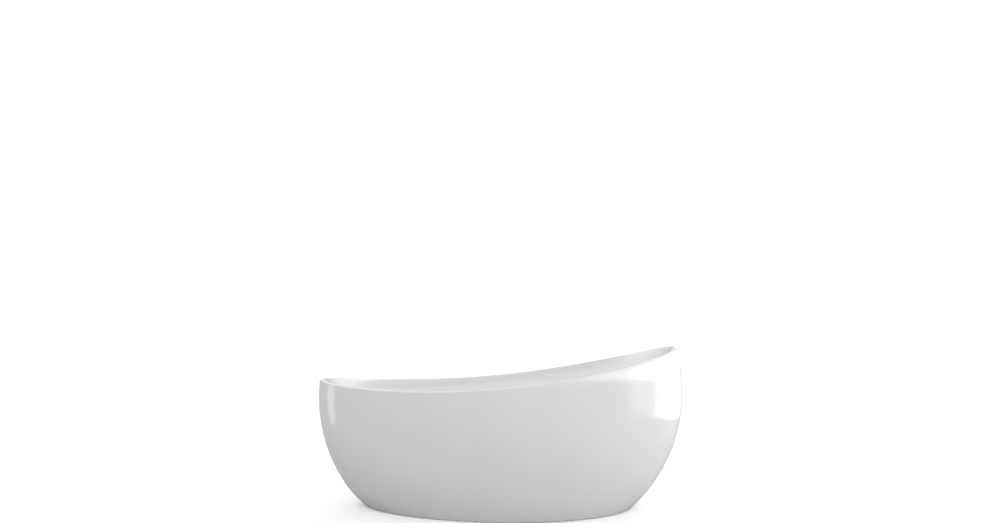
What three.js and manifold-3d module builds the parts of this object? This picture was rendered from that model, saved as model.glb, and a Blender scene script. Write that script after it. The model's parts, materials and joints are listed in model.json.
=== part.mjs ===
// Freestanding egg-shaped bathtub with a high head end, a pop-up waste and a rotary overflow.
// Millimetres. +X points to the head end, +Z up; the origin is on the floor under the middle.
import * as THREE from 'three';
import { mergeVertices } from 'three/addons/utils/BufferGeometryUtils.js';
import Module from 'manifold-3d';

// ---- Driving dimensions -------------------------------------------------------------------

// Outer body: an egg in plan, widest at the girth.
const HALF_LENGTH = 950;
const HALF_WIDTH = 475;
const EGG = 0.12; // how much fuller the head half is than the foot half
const GIRTH_HEIGHT = 580;
const GIRTH_TILT = 12; // the girth rises by this at the head and drops by it at the foot
const BELLY_DEPTH = 840; // size of the curve below the girth
const BROW_DEPTH = 1000; // size of the flatter curve above it
const SWELL_POWER = 2.06;
const TUCK = 8; // the ends tuck in by this much more at the floor,
const TUCK_FOOTWARD = 6; // the foot end by this much again, and the head end by this much less,
const TUCK_HEIGHT = 100; // fading out at this height

// Rim line: a parabola along the length, lowest towards the foot end.
const RIM_LOW = 603;
const RIM_LOW_X = -432;
const RIM_HEAD = 800;
const RIM_HEAD_X = 931;

// Lip rolled over the top of the shell.
const LIP_RADIUS = 8;
const LIP_DROP = 22;
const LIP_THICKNESS = 5;
const LIP_INNER_END = 130; // degrees round the crown where the inside wall takes over
const CROWN_ANGLES = [0, 30, 60, 90]; // degrees round the crown, from outside to top

const BASIN_WALL = 6;
const SHELL_WALL = 7;
const SHELL_TONGUE_WALL = 4.2;
const SHELL_TONGUE_TOP = 10; // below the rim
const SHELL_SHOULDER = 4; // height of the thick band under the tongue, inside
const SHELL_SHOULDER_SLOPE = 5; // the band fades into the wall over this many times its height
const SHELL_FLOOR_GAP = 3;
const GAP = 0.3; // left between pieces that touch

// Flat bottom of the basin, falling gently to the waste at the foot end.
const FLOOR_CENTRE_X = -17;
const FLOOR_HALF_LENGTH = 541;
const FLOOR_HALF_WIDTH = 272;
const FLOOR_LEVEL = 120;
const FLOOR_FALL = 0.01;
const FLOOR_FILLET = 30;

// Inside wall as a cubic curve of (fraction across, fraction down) from lip to floor.
const SIDE_CURVE = [[0.30, 0.07], [0.52, 0.34]];
const BACKREST_CURVE = [[0.28, 0.16], [0.55, 0.48]];
const WALL_CURVE_END = 0.95; // the fillet to the floor takes over here

// Frame under the basin.
const TUBE_WIDTH = 30;
const TUBE_HEIGHT = 25;
const TUBE_WALL = 2;
const CROSS_RAIL_BOTTOM = 41;
const LONG_RAIL_Y = 110;
const LONG_RAIL_ENDS = [-530, 490];
const CROSS_RAILS = [
  { place: 'foot_end', x: -510, legY: 165 },
  { place: 'middle', x: 0, legY: 250 },
  { place: 'head_end', x: 470, legY: 205 },
];
const CROSS_RAIL_OVERHANG = 28;
const BOARD_CENTRE_X = 70;
const BOARD_HALF_LENGTH = 400;
const BOARD_HALF_WIDTH = 205;

// Straps that tie the shell to the frame.
const STRAP_WIDTH = 24;
const STRAP_THICKNESS = 3;
const STRAP_RISE = 45;
const STRAP_CLEARANCE = 12;
const STRAP_START = 14; // beyond the leg, clear of its nut

// Levelling feet.
const STUD_RADIUS = 6;
const STUD_TOP = 94;
const PAD_RADIUS = 30;
const PAD_HEIGHT = 16;
const PAD_SOCKET_FLOOR = 6;
const PAD_NECK_RADIUS = 11;
const PAD_EDGE = 4; // height of the pad's upright edge
const PAD_BEVEL = 2;
const NUT_HEIGHT = 10;
const NUT_RADIUS = 11;

// Waste and trap, on one upright axis.
const WASTE_X = -415;
const WASTE_HOLE_RADIUS = 26;
const FLANGE_RADIUS = 34;
const FLANGE_RECESS = 2.5;
const FLANGE_PROUD = 0.2; // above the basin floor
const FLANGE_MOUTH_RADIUS = 27;
const FLANGE_MOUTH_DEPTH = 3;
const RECESS_CLEARANCE = 1;
const SLEEVE_RADIUS = 24;
const SLEEVE_WALL = 3;
const SLEEVE_LENGTH = 10; // inside the waste body
const GUIDE_RADIUS = 6; // ring in the sleeve that guides the plug's stem
const GUIDE_HEIGHT = 3;
const GUIDE_ARM_WIDTH = 3;
const PLUG_RADIUS = 29;
const PLUG_HEIGHT = 5;
const PLUG_LIFT_OFF = 0.6; // between the closed plug and the flange
const PLUG_EDGE = 1;
const PLUG_BROW = 6; // how far in from the edge the domed top flattens
const PLUG_SEAL_RADII = [14, 20];
const PLUG_SEAL_DEPTH = 2.2; // into the flange's mouth
const GASKET_HEIGHT = 3;
const WASTE_RIM_RADIUS = 36; // gasket and waste body under the basin
const WASTE_RIM_HEIGHT = 4;
const WASTE_BODY_RADIUS = 28;
const BASIN_UNDER_CLEARANCE = 0.8; // the basin's underside slopes
const BRANCH_HEIGHT = 86; // axis of the branch that the overflow hose joins
const BRANCH_LENGTH = 48;
const CABLE_LUG = [[-13, 22.5, 63], [-9, 42, 76]]; // holds the cable's sheath
const TRAP_BOTTOM = 10;
const TRAP_TOP = 52;
const TRAP_RADIUS = 46;
const TRAP_WALL = 3;
const TRAP_BEVEL = 4;
const TRAP_COVER_HEIGHT = 6;
const TRAP_NUT_RADIUS = 34;
const TRAP_NUT_HEIGHT = 10;
const TRAP_BODY_GAP = 4; // height of the rubber seal between cover and waste body
const TRAP_SEAL_INSET = 0.5;
const DIP_RADIUS = 20;
const DIP_HEIGHT = 10; // above the floor of the trap
const OUTLET_HEIGHT = 29; // axis of the outlet above the floor
const OUTLET_RADIUS = 20;
const OUTLET_WALL = 2;
const OUTLET_END_X = -150;
const OUTLET_START = 58; // from the axis of the waste
const OUTLET_SOCKET_DEPTH = 15;
const OUTLET_TAPER = 7; // from the narrow socket to the full bore
const OUTLET_NUT_WALL = 5;
const OUTLET_NUT_LENGTH = 20;
const SPIGOT_RADIUS = 12;
const SPIGOT_LENGTH = 34;

// Lever that lifts the plug.
const LEVER_ARM = 16;
const LEVER_HEIGHT = 80;
const LEVER_PIN_RADIUS = 3;
const LEVER_TIP_RADIUS = 2.5;
const LEVER_ARM_THICKNESS = 2;
const LEVER_OUTSIDE_Y = 36;
const PULL_ARM_LENGTH = 14;
const PULL_ARM_WIDTH = 4;
const STEM_RADIUS = 3;
const STEM_CLEARANCE = 0.7; // between the stem and the lever's tip

// Overflow on the foot-end wall.
const OVERFLOW_X = -790;
const OVERFLOW_HOLE_RADIUS = 26;
const OVERFLOW_SLEEVE = 14; // length of the rosette's sleeve behind the wall's face
const OVERFLOW_SLEEVE_WALL = 3;
const OVERFLOW_CLEARANCE = 0.5;
const ROSETTE_RADIUS = 36;
const ROSETTE_HEIGHT = 3;
const ROSETTE_EDGE = 1.2;
const KNOB_RADIUS = 33;
const KNOB_WALL = 3;
const KNOB_TOP_WALL = 4;
const KNOB_BOSS_RADIUS = 7;
const KNOB_SHOULDER = 6; // height of the bevel round the top
const KNOB_DOME = 1; // rise of the top's middle, and taper of the side
const SPINDLE_RADIUS = 4;
const SPINDLE_REACH = 4; // into the knob
const SPINDLE_TAIL = 16; // behind the cup
const SPOOL_RADIUS = 15;
const SPOOL_HEIGHT = 11;
const CUP_BACK = -46;
const CUP_RADIUS = 29;
const CUP_WALL = 3;
const HOSE_LEVEL = -29; // how far behind the wall the hose leaves the cup
const NOZZLE_END = 52;
const COVER_RADIUS = 21;
const COVER_WALL = 2;
const COVER_HEIGHT = 20;
const SEAT = -1.5; // flat seats pared into the front and back of the wall, along the knob's axis
const BACK_SEAT = -6;
const SEAT_REACH = 20;
const SEAT_CLEARANCE = 1.5;
const KNOB_LIFT = 7; // water gap between rosette and knob
const KNOB_HEIGHT = 24;
const HOSE_RADIUS = 14;
const HOSE_WALL = 2;
const NOZZLE_RADIUS = 11; // the hose pushes over this
const NOZZLE_WALL = 2;
const CLAMP_WALL = 2;
const CLAMP_WIDTH = 10;
const CABLE_RADIUS = 2.5;
const CABLE_OFFSET = 33; // beside the waste, clear of the hose

// How finely round things are divided.
const PLAN_STEPS = 52;
const ROUND_STEPS = 20;
const FINE_STEPS = 28;
const SEAL_STEPS = 16;
const SMALL_STEPS = 12;
const HOSE_SIDES = 5; // per quarter turn of the outside
const HOSE_STEPS = 24;
const CABLE_SIDES = 4;
const CABLE_STEPS = 30;
const WALL_ROWS = 8;
const FILLET_ROWS = [0.3, 0.6]; // fractions along the fillet
const BELLY_ROWS = 6;
const BROW_ROWS = 3;
const SHELL_INSIDE_ROWS = 7;
const SEARCH_STEPS = 900; // where a place on the tub is found by trying
const RIM_PASSES = 20;

// ---- Materials ----------------------------------------------------------------------------

function finish(color, roughness, metalness) {
  return new THREE.MeshStandardMaterial({ color, roughness, metalness });
}

const acrylic = finish(0xf3f4f5, 0.12, 0);
const chrome = finish(0xd6d9dc, 0.08, 1);
const zincSteel = finish(0x9da2a6, 0.4, 1);
const greyPlastic = finish(0xb9bcbe, 0.5, 0);
const blackPlastic = finish(0x232425, 0.55, 0);
const rubber = finish(0x1a1a1a, 0.85, 0);
const brass = finish(0xb99a55, 0.3, 1);
const board = finish(0xc7b48c, 0.8, 0);

// ---- Geometry helpers ---------------------------------------------------------------------

const wasm = await Module();
wasm.setup();

const tub = new THREE.Group();

function add(name, geometry, material, parent = tub) {
  const mesh = new THREE.Mesh(geometry, material);
  mesh.name = name;
  parent.add(mesh);
  return mesh;
}

// Triangle list with shared corners and without the slivers that collapse on an axis.
function weld(geometry) {
  const bare = geometry.clone();
  bare.deleteAttribute('normal');
  bare.deleteAttribute('uv');
  const merged = mergeVertices(bare, 1e-3);
  const kept = [];
  const index = merged.index.array;
  for (let i = 0; i < index.length; i += 3) {
    const [a, b, c] = [index[i], index[i + 1], index[i + 2]];
    if (a !== b && b !== c && c !== a) kept.push(a, b, c);
  }
  merged.setIndex(kept);
  return merged;
}

function solidOf(geometry) {
  const merged = weld(geometry);
  return new wasm.Manifold(new wasm.Mesh({
    numProp: 3,
    vertProperties: new Float32Array(merged.attributes.position.array),
    triVerts: new Uint32Array(merged.index.array),
  }));
}

function geometryOf(solid) {
  const mesh = solid.getMesh();
  const geometry = new THREE.BufferGeometry();
  geometry.setAttribute('position', new THREE.BufferAttribute(mesh.vertProperties, 3));
  geometry.setIndex(new THREE.BufferAttribute(mesh.triVerts, 1));
  geometry.computeVertexNormals();
  return geometry;
}

function joined(first, ...others) {
  return geometryOf(others.reduce((solid, other) => solid.add(solidOf(other)), solidOf(first)));
}

function cut(first, ...tools) {
  return geometryOf(tools.reduce((solid, tool) => solid.subtract(solidOf(tool)), solidOf(first)));
}

// Solid turned about +Z from a list of [radius, height] points that closes on itself or
// starts and ends on the axis, with its inside on the left.
function turned(profile, steps = ROUND_STEPS) {
  const points = profile.map(([radius, height]) => new THREE.Vector2(radius, height));
  return new THREE.LatheGeometry(points, steps).rotateX(Math.PI / 2);
}

function ring(inner, outer, bottom, top, steps = ROUND_STEPS) {
  return turned([[inner, bottom], [outer, bottom], [outer, top], [inner, top], [inner, bottom]], steps);
}

// Radius of a faceted hole whose flats clear a round piece of `radius`.
function holeRound(radius, steps = ROUND_STEPS) {
  return (radius + GAP) / Math.cos(Math.PI / steps);
}

function disc(radius, bottom, top, steps = ROUND_STEPS) {
  return turned([[0, bottom], [radius, bottom], [radius, top], [0, top]], steps);
}

function block(low, high) {
  const size = high.map((value, axis) => value - low[axis]);
  const middle = high.map((value, axis) => (value + low[axis]) / 2);
  return new THREE.BoxGeometry(...size).translate(...middle);
}

// Round rod along +X or +Y, from one coordinate to another.
function rodAlong(axis, radius, from, to, steps = SMALL_STEPS) {
  const rod = disc(radius, from, to, steps);
  return axis === 'x' ? rod.rotateY(Math.PI / 2) : rod.rotateX(-Math.PI / 2);
}

function tubeAlong(points, radius, wall, sides, steps) {
  const section = new THREE.Shape().absarc(0, 0, radius, 0, 2 * Math.PI, false);
  if (wall) section.holes.push(new THREE.Path().absarc(0, 0, radius - wall, 0, 2 * Math.PI, true));
  const path = new THREE.CatmullRomCurve3(points.map((point) => new THREE.Vector3(...point)));
  const options = { steps, extrudePath: path, curveSegments: sides };
  return new THREE.ExtrudeGeometry(section, options);
}

// Surface through rings of equal length, listed with the outside of the solid on the right of
// the run from ring to ring. Without poles the last ring joins the first.
function loft(rings, poles) {
  const count = rings[0].length;
  const points = rings.flat();
  const index = [];
  const bands = poles ? rings.length - 1 : rings.length;
  for (let row = 0; row < bands; row += 1) {
    for (let column = 0; column < count; column += 1) {
      const next = (column + 1) % count;
      const here = row * count;
      const above = ((row + 1) % rings.length) * count;
      index.push(here + column, here + next, above + next, here + column, above + next, above + column);
    }
  }
  if (poles) {
    const last = (rings.length - 1) * count;
    const first = points.length;
    points.push(poles[0], poles[1]);
    for (let column = 0; column < count; column += 1) {
      const next = (column + 1) % count;
      index.push(first, next, column, first + 1, last + column, last + next);
    }
  }
  const geometry = new THREE.BufferGeometry().setFromPoints(points);
  geometry.setIndex(index);
  geometry.computeVertexNormals();
  return geometry;
}

// Rings from a function that gives one list of points for each plan angle.
function ringsOf(section) {
  const columns = [];
  for (let step = 0; step < PLAN_STEPS; step += 1) {
    columns.push(section((2 * Math.PI * step) / PLAN_STEPS));
  }
  return columns[0].map((_, row) => columns.map((column) => column[row]));
}

function mix(from, to, fraction) {
  return from + (to - from) * fraction;
}

function span(count, from, to) {
  return Array.from({ length: count }, (_, step) => mix(from, to, step / (count - 1)));
}

// ---- Shape of the tub ---------------------------------------------------------------------

function eggWidth(angle) {
  return (Math.sin(angle) * (1 + EGG * Math.cos(angle))) / (1 + (EGG * EGG) / 2);
}

function outward(angle) {
  const normal = new THREE.Vector3(Math.cos(angle) / HALF_LENGTH, Math.sin(angle) / HALF_WIDTH, 0);
  return normal.normalize();
}

function girthAt(angle) {
  return GIRTH_HEIGHT + GIRTH_TILT * Math.cos(angle);
}

function tuckAt(angle, height) {
  const low = Math.max(0, 1 - height / TUCK_HEIGHT);
  return Math.cos(angle) ** 2 * (TUCK - TUCK_FOOTWARD * Math.cos(angle)) * low ** 2;
}

// Point of the outer skin at a plan angle (0 at the head) and height, moved in by `inset`.
function skin(angle, height, inset = 0) {
  const girth = girthAt(angle);
  const depth = height < girth ? BELLY_DEPTH : BROW_DEPTH;
  const swell = Math.sqrt(1 - Math.abs((girth - height) / depth) ** SWELL_POWER);
  const x = HALF_LENGTH * swell * Math.cos(angle);
  const y = HALF_WIDTH * swell * eggWidth(angle);
  const inward = -inset - tuckAt(angle, height);
  return new THREE.Vector3(x, y, height).addScaledVector(outward(angle), inward);
}

function rimHeight(x) {
  return RIM_LOW + (RIM_HEAD - RIM_LOW) * ((x - RIM_LOW_X) / (RIM_HEAD_X - RIM_LOW_X)) ** 2;
}

// Height of the rim at a plan angle, found by stepping between the skin and the rim line.
function rimAt(angle) {
  let height = RIM_LOW;
  for (let step = 0; step < RIM_PASSES; step += 1) height = rimHeight(skin(angle, height).x);
  return height;
}

function floorHeight(x) {
  return FLOOR_LEVEL + FLOOR_FALL * x;
}

function floorPoint(angle, inset = 0) {
  const x = FLOOR_CENTRE_X + (FLOOR_HALF_LENGTH - inset) * Math.cos(angle);
  const y = (FLOOR_HALF_WIDTH - inset) * eggWidth(angle);
  return new THREE.Vector3(x, y, floorHeight(x));
}

function crownPoint(angle, degrees) {
  const turn = THREE.MathUtils.degToRad(degrees);
  const height = rimAt(angle) - LIP_RADIUS + LIP_RADIUS * Math.sin(turn);
  return skin(angle, rimAt(angle) - LIP_RADIUS, LIP_RADIUS - LIP_RADIUS * Math.cos(turn)).setZ(height);
}

// Fractions across and down at `t` along the inside wall; the head has a gentler backrest.
function wallFractions(angle, t) {
  const headward = ((1 + Math.cos(angle)) / 2) ** 2;
  const handles = SIDE_CURVE.map((side, i) => {
    const [across, down] = side.map((value, axis) => mix(value, BACKREST_CURVE[i][axis], headward));
    return new THREE.Vector2(across, down);
  });
  const ends = [new THREE.Vector2(0, 0), new THREE.Vector2(1, 1)];
  return new THREE.CubicBezierCurve(ends[0], handles[0], handles[1], ends[1]).getPoint(t);
}

function wallPoint(angle, t) {
  const top = crownPoint(angle, LIP_INNER_END);
  const bottom = floorPoint(angle);
  const fraction = wallFractions(angle, t);
  const point = top.clone().lerp(bottom, fraction.x);
  return point.setZ(mix(top.z, bottom.z, fraction.y));
}

// Inside surface from the flat floor out and up to the crown of the lip.
function insideSection(angle) {
  const inner = floorPoint(angle, FLOOR_FILLET);
  const start = wallPoint(angle, WALL_CURVE_END);
  const fillet = new THREE.QuadraticBezierCurve3(inner, floorPoint(angle), start);
  const bend = FILLET_ROWS.map((t) => fillet.getPoint(t));
  const wall = span(WALL_ROWS, WALL_CURVE_END, 0).map((t) => wallPoint(angle, t));
  return [inner, ...bend, ...wall];
}

// The same points moved through the wall's thickness, to its back.
function behind(points, angle, thickness) {
  const out = outward(angle);
  return points.map((point, i) => {
    const ahead = points[Math.min(i + 1, points.length - 1)];
    const back = points[Math.max(i - 1, 0)];
    const run = new THREE.Vector2(ahead.clone().sub(back).dot(out), ahead.z - back.z).normalize();
    const moved = point.clone().addScaledVector(out, run.y * thickness);
    return moved.setZ(point.z - run.x * thickness);
  });
}

// ---- Basin and shell ----------------------------------------------------------------------

function basinSection(angle) {
  const inside = insideSection(angle);
  const back = behind(inside, angle, BASIN_WALL).filter((_, i) => i % 2 === 0);
  const lipBottom = rimAt(angle) - LIP_DROP;
  const lip = [
    skin(angle, rimAt(angle) - LIP_RADIUS, LIP_THICKNESS),
    skin(angle, lipBottom, LIP_THICKNESS),
    skin(angle, lipBottom),
  ];
  const crown = CROWN_ANGLES.map((degrees) => crownPoint(angle, degrees));
  return [...back, ...lip, ...crown, ...inside.reverse()];
}

const floorCentre = new THREE.Vector3(FLOOR_CENTRE_X, 0, floorHeight(FLOOR_CENTRE_X));
const floorBack = floorCentre.clone().setZ(floorCentre.z - BASIN_WALL);
const basinBlank = loft(ringsOf(basinSection), [floorBack, floorCentre]);

const wasteFloor = floorHeight(WASTE_X); // height of the basin floor at the waste

// Place on the foot-end wall that the overflow sits on, and how far its axis leans from +Z.
function findOverflow() {
  const t = span(400, 0, 1).find((value) => wallPoint(Math.PI, value).x > OVERFLOW_X);
  const near = 0.02;
  const slope = wallPoint(Math.PI, t + near).sub(wallPoint(Math.PI, t - near));
  return { seat: wallPoint(Math.PI, t), lean: Math.atan2(-slope.z, slope.x) };
}

const overflow = findOverflow();

function onOverflow(geometry) {
  return geometry.rotateY(overflow.lean).translate(overflow.seat.x, 0, overflow.seat.z);
}

const wasteRecess = disc(FLANGE_RADIUS + RECESS_CLEARANCE, wasteFloor - FLANGE_RECESS, FLOOR_LEVEL * 2);
add('inner_basin', cut(
  basinBlank,
  disc(WASTE_HOLE_RADIUS, 0, FLOOR_LEVEL * 2).translate(WASTE_X, 0, 0),
  wasteRecess.translate(WASTE_X, 0, 0),
  onOverflow(disc(OVERFLOW_HOLE_RADIUS, BACK_SEAT - SEAT_REACH, SEAT + SEAT_REACH)),
  onOverflow(disc(ROSETTE_RADIUS + SEAT_CLEARANCE, SEAT, SEAT + SEAT_REACH)),
  onOverflow(disc(ROSETTE_RADIUS + SEAT_CLEARANCE, BACK_SEAT - SEAT_REACH, BACK_SEAT)),
), acrylic);

function shellSection(angle) {
  const girth = girthAt(angle);
  const rim = rimAt(angle);
  const seam = rim - LIP_DROP - GAP;
  const low = [SHELL_FLOOR_GAP, TUCK_HEIGHT / 2];
  const belly = [...low, ...span(BELLY_ROWS, TUCK_HEIGHT, girth)].map((height) => skin(angle, height));
  const brow = span(BROW_ROWS, girth, seam).slice(1).map((height) => skin(angle, height));
  const tongueOut = LIP_THICKNESS + GAP;
  const tongueIn = tongueOut + SHELL_TONGUE_WALL;
  const tongueTop = rim - SHELL_TONGUE_TOP;
  const tongue = [
    skin(angle, seam, tongueOut),
    skin(angle, tongueTop, tongueOut),
    skin(angle, tongueTop, tongueIn),
    skin(angle, seam - SHELL_SHOULDER, tongueIn),
  ];
  const shoulder = seam - SHELL_SHOULDER * SHELL_SHOULDER_SLOPE;
  const insideHeights = span(SHELL_INSIDE_ROWS, shoulder, SHELL_FLOOR_GAP);
  const inner = insideHeights.map((height) => skin(angle, height, SHELL_WALL));
  return [...belly, ...brow, ...tongue, ...inner];
}

add('outer_shell', loft(ringsOf(shellSection)), acrylic);

// ---- Base board and steel frame -----------------------------------------------------------

const longRailBottom = CROSS_RAIL_BOTTOM + TUBE_HEIGHT + GAP;
const boardBottom = longRailBottom + TUBE_HEIGHT + GAP;

function boardSection(angle) {
  const x = BOARD_CENTRE_X + BOARD_HALF_LENGTH * Math.cos(angle);
  const y = BOARD_HALF_WIDTH * eggWidth(angle);
  const top = floorHeight(x) - BASIN_WALL - GAP;
  return [new THREE.Vector3(x, y, boardBottom), new THREE.Vector3(x, y, top)];
}

const boardTop = floorHeight(BOARD_CENTRE_X) - BASIN_WALL - GAP;
add('base_board', loft(ringsOf(boardSection), [
  new THREE.Vector3(BOARD_CENTRE_X, 0, boardBottom),
  new THREE.Vector3(BOARD_CENTRE_X, 0, boardTop),
]), board);

function rectangle(halfWidth, halfHeight) {
  const corners = [[-1, -1], [1, -1], [1, 1], [-1, 1]];
  return corners.map(([u, v]) => new THREE.Vector2(u * halfWidth, v * halfHeight));
}

// Rectangular tube along +Z, standing on z = 0, TUBE_WIDTH along x and TUBE_HEIGHT along y.
function squareTube(length) {
  const [width, height] = [TUBE_WIDTH / 2, TUBE_HEIGHT / 2];
  const section = new THREE.Shape(rectangle(width, height));
  const bore = rectangle(width - TUBE_WALL, height - TUBE_WALL).reverse();
  section.holes.push(new THREE.Path(bore));
  return new THREE.ExtrudeGeometry(section, { depth: length, bevelEnabled: false });
}

for (const side of [1, -1]) {
  const rail = squareTube(LONG_RAIL_ENDS[1] - LONG_RAIL_ENDS[0]);
  rail.rotateY(Math.PI / 2).rotateX(Math.PI / 2);
  const mesh = add(side > 0 ? 'long_rail_left' : 'long_rail_right', rail, zincSteel);
  mesh.position.set(LONG_RAIL_ENDS[0], side * LONG_RAIL_Y, longRailBottom + TUBE_HEIGHT / 2);
}

function crossRail(x, legY) {
  const length = 2 * (legY + CROSS_RAIL_OVERHANG);
  const middle = CROSS_RAIL_BOTTOM + TUBE_HEIGHT / 2;
  const rail = squareTube(length).rotateX(-Math.PI / 2).translate(x, -length / 2, middle);
  const hole = holeRound(STUD_RADIUS, SMALL_STEPS);
  const holes = [legY, -legY].map((y) => disc(hole, 0, STUD_TOP, SMALL_STEPS).translate(x, y, 0));
  return cut(rail, ...holes);
}

for (const { place, x, legY } of CROSS_RAILS) add(`cross_rail_${place}`, crossRail(x, legY), zincSteel);

// Steel strap from the end of a cross rail, bent up along the inside of the shell at `x`.
function shellStrap(x, legY) {
  const reach = (height) => {
    const angle = span(SEARCH_STEPS, 0, Math.PI).find((value) => skin(value, height).x < x);
    return skin(angle, height, SHELL_WALL + STRAP_CLEARANCE).y;
  };
  const low = CROSS_RAIL_BOTTOM + TUBE_HEIGHT + GAP;
  const high = low + STRAP_RISE;
  const start = legY + STRAP_START;
  const outline = [
    [start, low],
    [reach(low), low],
    [reach(high), high],
    [reach(high) - STRAP_THICKNESS, high],
    [reach(low) - STRAP_THICKNESS, low + STRAP_THICKNESS],
    [start, low + STRAP_THICKNESS],
  ];
  const section = new THREE.Shape(outline.map((point) => new THREE.Vector2(...point)));
  const options = { depth: STRAP_WIDTH, bevelEnabled: false };
  const strap = new THREE.ExtrudeGeometry(section, options).translate(0, 0, -STRAP_WIDTH / 2);
  return strap.rotateX(Math.PI / 2).rotateZ(Math.PI / 2);
}

for (const { place, x, legY } of CROSS_RAILS) {
  for (const side of ['left', 'right']) {
    const strap = add(`shell_strap_${place}_${side}`, shellStrap(x, legY), zincSteel);
    strap.position.x = x;
    strap.rotation.z = side === 'left' ? 0 : Math.PI;
  }
}

// ---- Levelling feet -----------------------------------------------------------------------

const padSocket = holeRound(STUD_RADIUS, SEAL_STEPS);
const padProfile = [
  [0, 0], [PAD_RADIUS - PAD_BEVEL, 0], [PAD_RADIUS, PAD_EDGE], [PAD_NECK_RADIUS, PAD_HEIGHT],
  [padSocket, PAD_HEIGHT], [padSocket, PAD_SOCKET_FLOOR], [0, PAD_SOCKET_FLOOR],
];

function hexNut(hole, radius, height) {
  const corners = span(7, 0, 2 * Math.PI).slice(0, 6);
  const points = corners.map((turn) => new THREE.Vector2(Math.cos(turn), Math.sin(turn)));
  const outline = new THREE.Shape(points.map((point) => point.multiplyScalar(radius)));
  outline.holes.push(new THREE.Path().absarc(0, 0, hole, 0, 2 * Math.PI, true));
  const options = { depth: height, bevelEnabled: false, curveSegments: SMALL_STEPS / 2 };
  return new THREE.ExtrudeGeometry(outline, options);
}

for (const { place, x, legY } of CROSS_RAILS) {
  for (const [side, y] of [['left', legY], ['right', -legY]]) {
    const foot = new THREE.Group();
    foot.position.set(x, y, 0);
    tub.add(foot);
    const stud = disc(STUD_RADIUS, PAD_SOCKET_FLOOR + GAP, STUD_TOP, SMALL_STEPS);
    const nut = hexNut(holeRound(STUD_RADIUS, SMALL_STEPS), NUT_RADIUS, NUT_HEIGHT);
    nut.translate(0, 0, CROSS_RAIL_BOTTOM - NUT_HEIGHT - GAP);
    add(`foot_pad_${place}_${side}`, turned(padProfile, SEAL_STEPS), blackPlastic, foot);
    add(`foot_stud_${place}_${side}`, stud, zincSteel, foot);
    add(`foot_nut_${place}_${side}`, nut, zincSteel, foot);
  }
}

// ---- Pop-up waste -------------------------------------------------------------------------

const waste = new THREE.Group();
waste.position.x = WASTE_X;
tub.add(waste);

const flangeSeat = wasteFloor - FLANGE_RECESS + GAP;
const flangeTop = wasteFloor + FLANGE_PROUD;
const basinUnder = wasteFloor - BASIN_WALL - BASIN_UNDER_CLEARANCE;
const gasketBottom = basinUnder - GASKET_HEIGHT;
const bodyTop = gasketBottom - GAP;
const bodyBottom = TRAP_TOP + TRAP_BODY_GAP;
const sleeveInside = SLEEVE_RADIUS - SLEEVE_WALL;
const sleeveBottom = bodyTop - SLEEVE_LENGTH;

function wasteFlange() {
  const body = turned([
    [sleeveInside, sleeveBottom], [SLEEVE_RADIUS, sleeveBottom], [SLEEVE_RADIUS, flangeSeat],
    [FLANGE_RADIUS, flangeSeat], [FLANGE_RADIUS, flangeTop], [FLANGE_MOUTH_RADIUS, flangeTop],
    [sleeveInside, flangeTop - FLANGE_MOUTH_DEPTH], [sleeveInside, sleeveBottom],
  ], FINE_STEPS);
  const top = sleeveBottom + GUIDE_HEIGHT;
  const hub = ring(holeRound(STEM_RADIUS, SMALL_STEPS), GUIDE_RADIUS, sleeveBottom, top, SMALL_STEPS);
  const half = GUIDE_ARM_WIDTH / 2;
  const [start, end] = [GUIDE_RADIUS - 1, SLEEVE_RADIUS - half];
  const arms = [0, 90, 180, 270].map((degrees) => block(
    [start, -half, sleeveBottom],
    [end, half, top],
  ).rotateZ(THREE.MathUtils.degToRad(degrees)));
  return joined(body, hub, ...arms);
}

add('waste_flange', wasteFlange(), chrome, waste);

const capBottom = flangeTop + PLUG_LIFT_OFF;
const capTop = capBottom + PLUG_HEIGHT;
add('waste_plug', turned([
  [0, capBottom], [PLUG_RADIUS - PLUG_EDGE, capBottom], [PLUG_RADIUS, capBottom + PLUG_EDGE],
  [PLUG_RADIUS - PLUG_EDGE, (capBottom + capTop) / 2], [PLUG_RADIUS - PLUG_BROW, capTop - PLUG_EDGE],
  [0, capTop],
], FINE_STEPS), chrome, waste);
const plugSeal = ring(...PLUG_SEAL_RADII, flangeTop - PLUG_SEAL_DEPTH, capBottom - GAP, SEAL_STEPS);
add('plug_seal', plugSeal, rubber, waste);
const stemBottom = LEVER_HEIGHT + LEVER_TIP_RADIUS + STEM_CLEARANCE;
add('plug_stem', disc(STEM_RADIUS, stemBottom, capBottom - GAP, SMALL_STEPS), brass, waste);

const gasketBore = holeRound(SLEEVE_RADIUS, SEAL_STEPS);
const wasteGasket = ring(gasketBore, WASTE_RIM_RADIUS, gasketBottom, basinUnder, SEAL_STEPS);
add('waste_gasket', wasteGasket, rubber, waste);

function wasteBody() {
  const bore = holeRound(SLEEVE_RADIUS);
  const rimBottom = bodyTop - WASTE_RIM_HEIGHT;
  const cup = turned([
    [bore, bodyBottom], [WASTE_BODY_RADIUS, bodyBottom], [WASTE_BODY_RADIUS, rimBottom],
    [WASTE_RIM_RADIUS, rimBottom], [WASTE_RIM_RADIUS, bodyTop], [bore, bodyTop], [bore, bodyBottom],
  ]);
  const branch = rodAlong('x', NOZZLE_RADIUS, -BRANCH_LENGTH, -bore - 1, ROUND_STEPS);
  const channel = rodAlong('x', NOZZLE_RADIUS - NOZZLE_WALL, -BRANCH_LENGTH - 1, -bore / 2, ROUND_STEPS);
  const leverHole = rodAlong('y', holeRound(LEVER_PIN_RADIUS, SMALL_STEPS), 0, WASTE_RIM_RADIUS);
  return cut(
    joined(cup, branch.translate(0, 0, BRANCH_HEIGHT), block(...CABLE_LUG)),
    channel.translate(0, 0, BRANCH_HEIGHT),
    leverHole.translate(LEVER_ARM, 0, LEVER_HEIGHT),
  );
}

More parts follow.
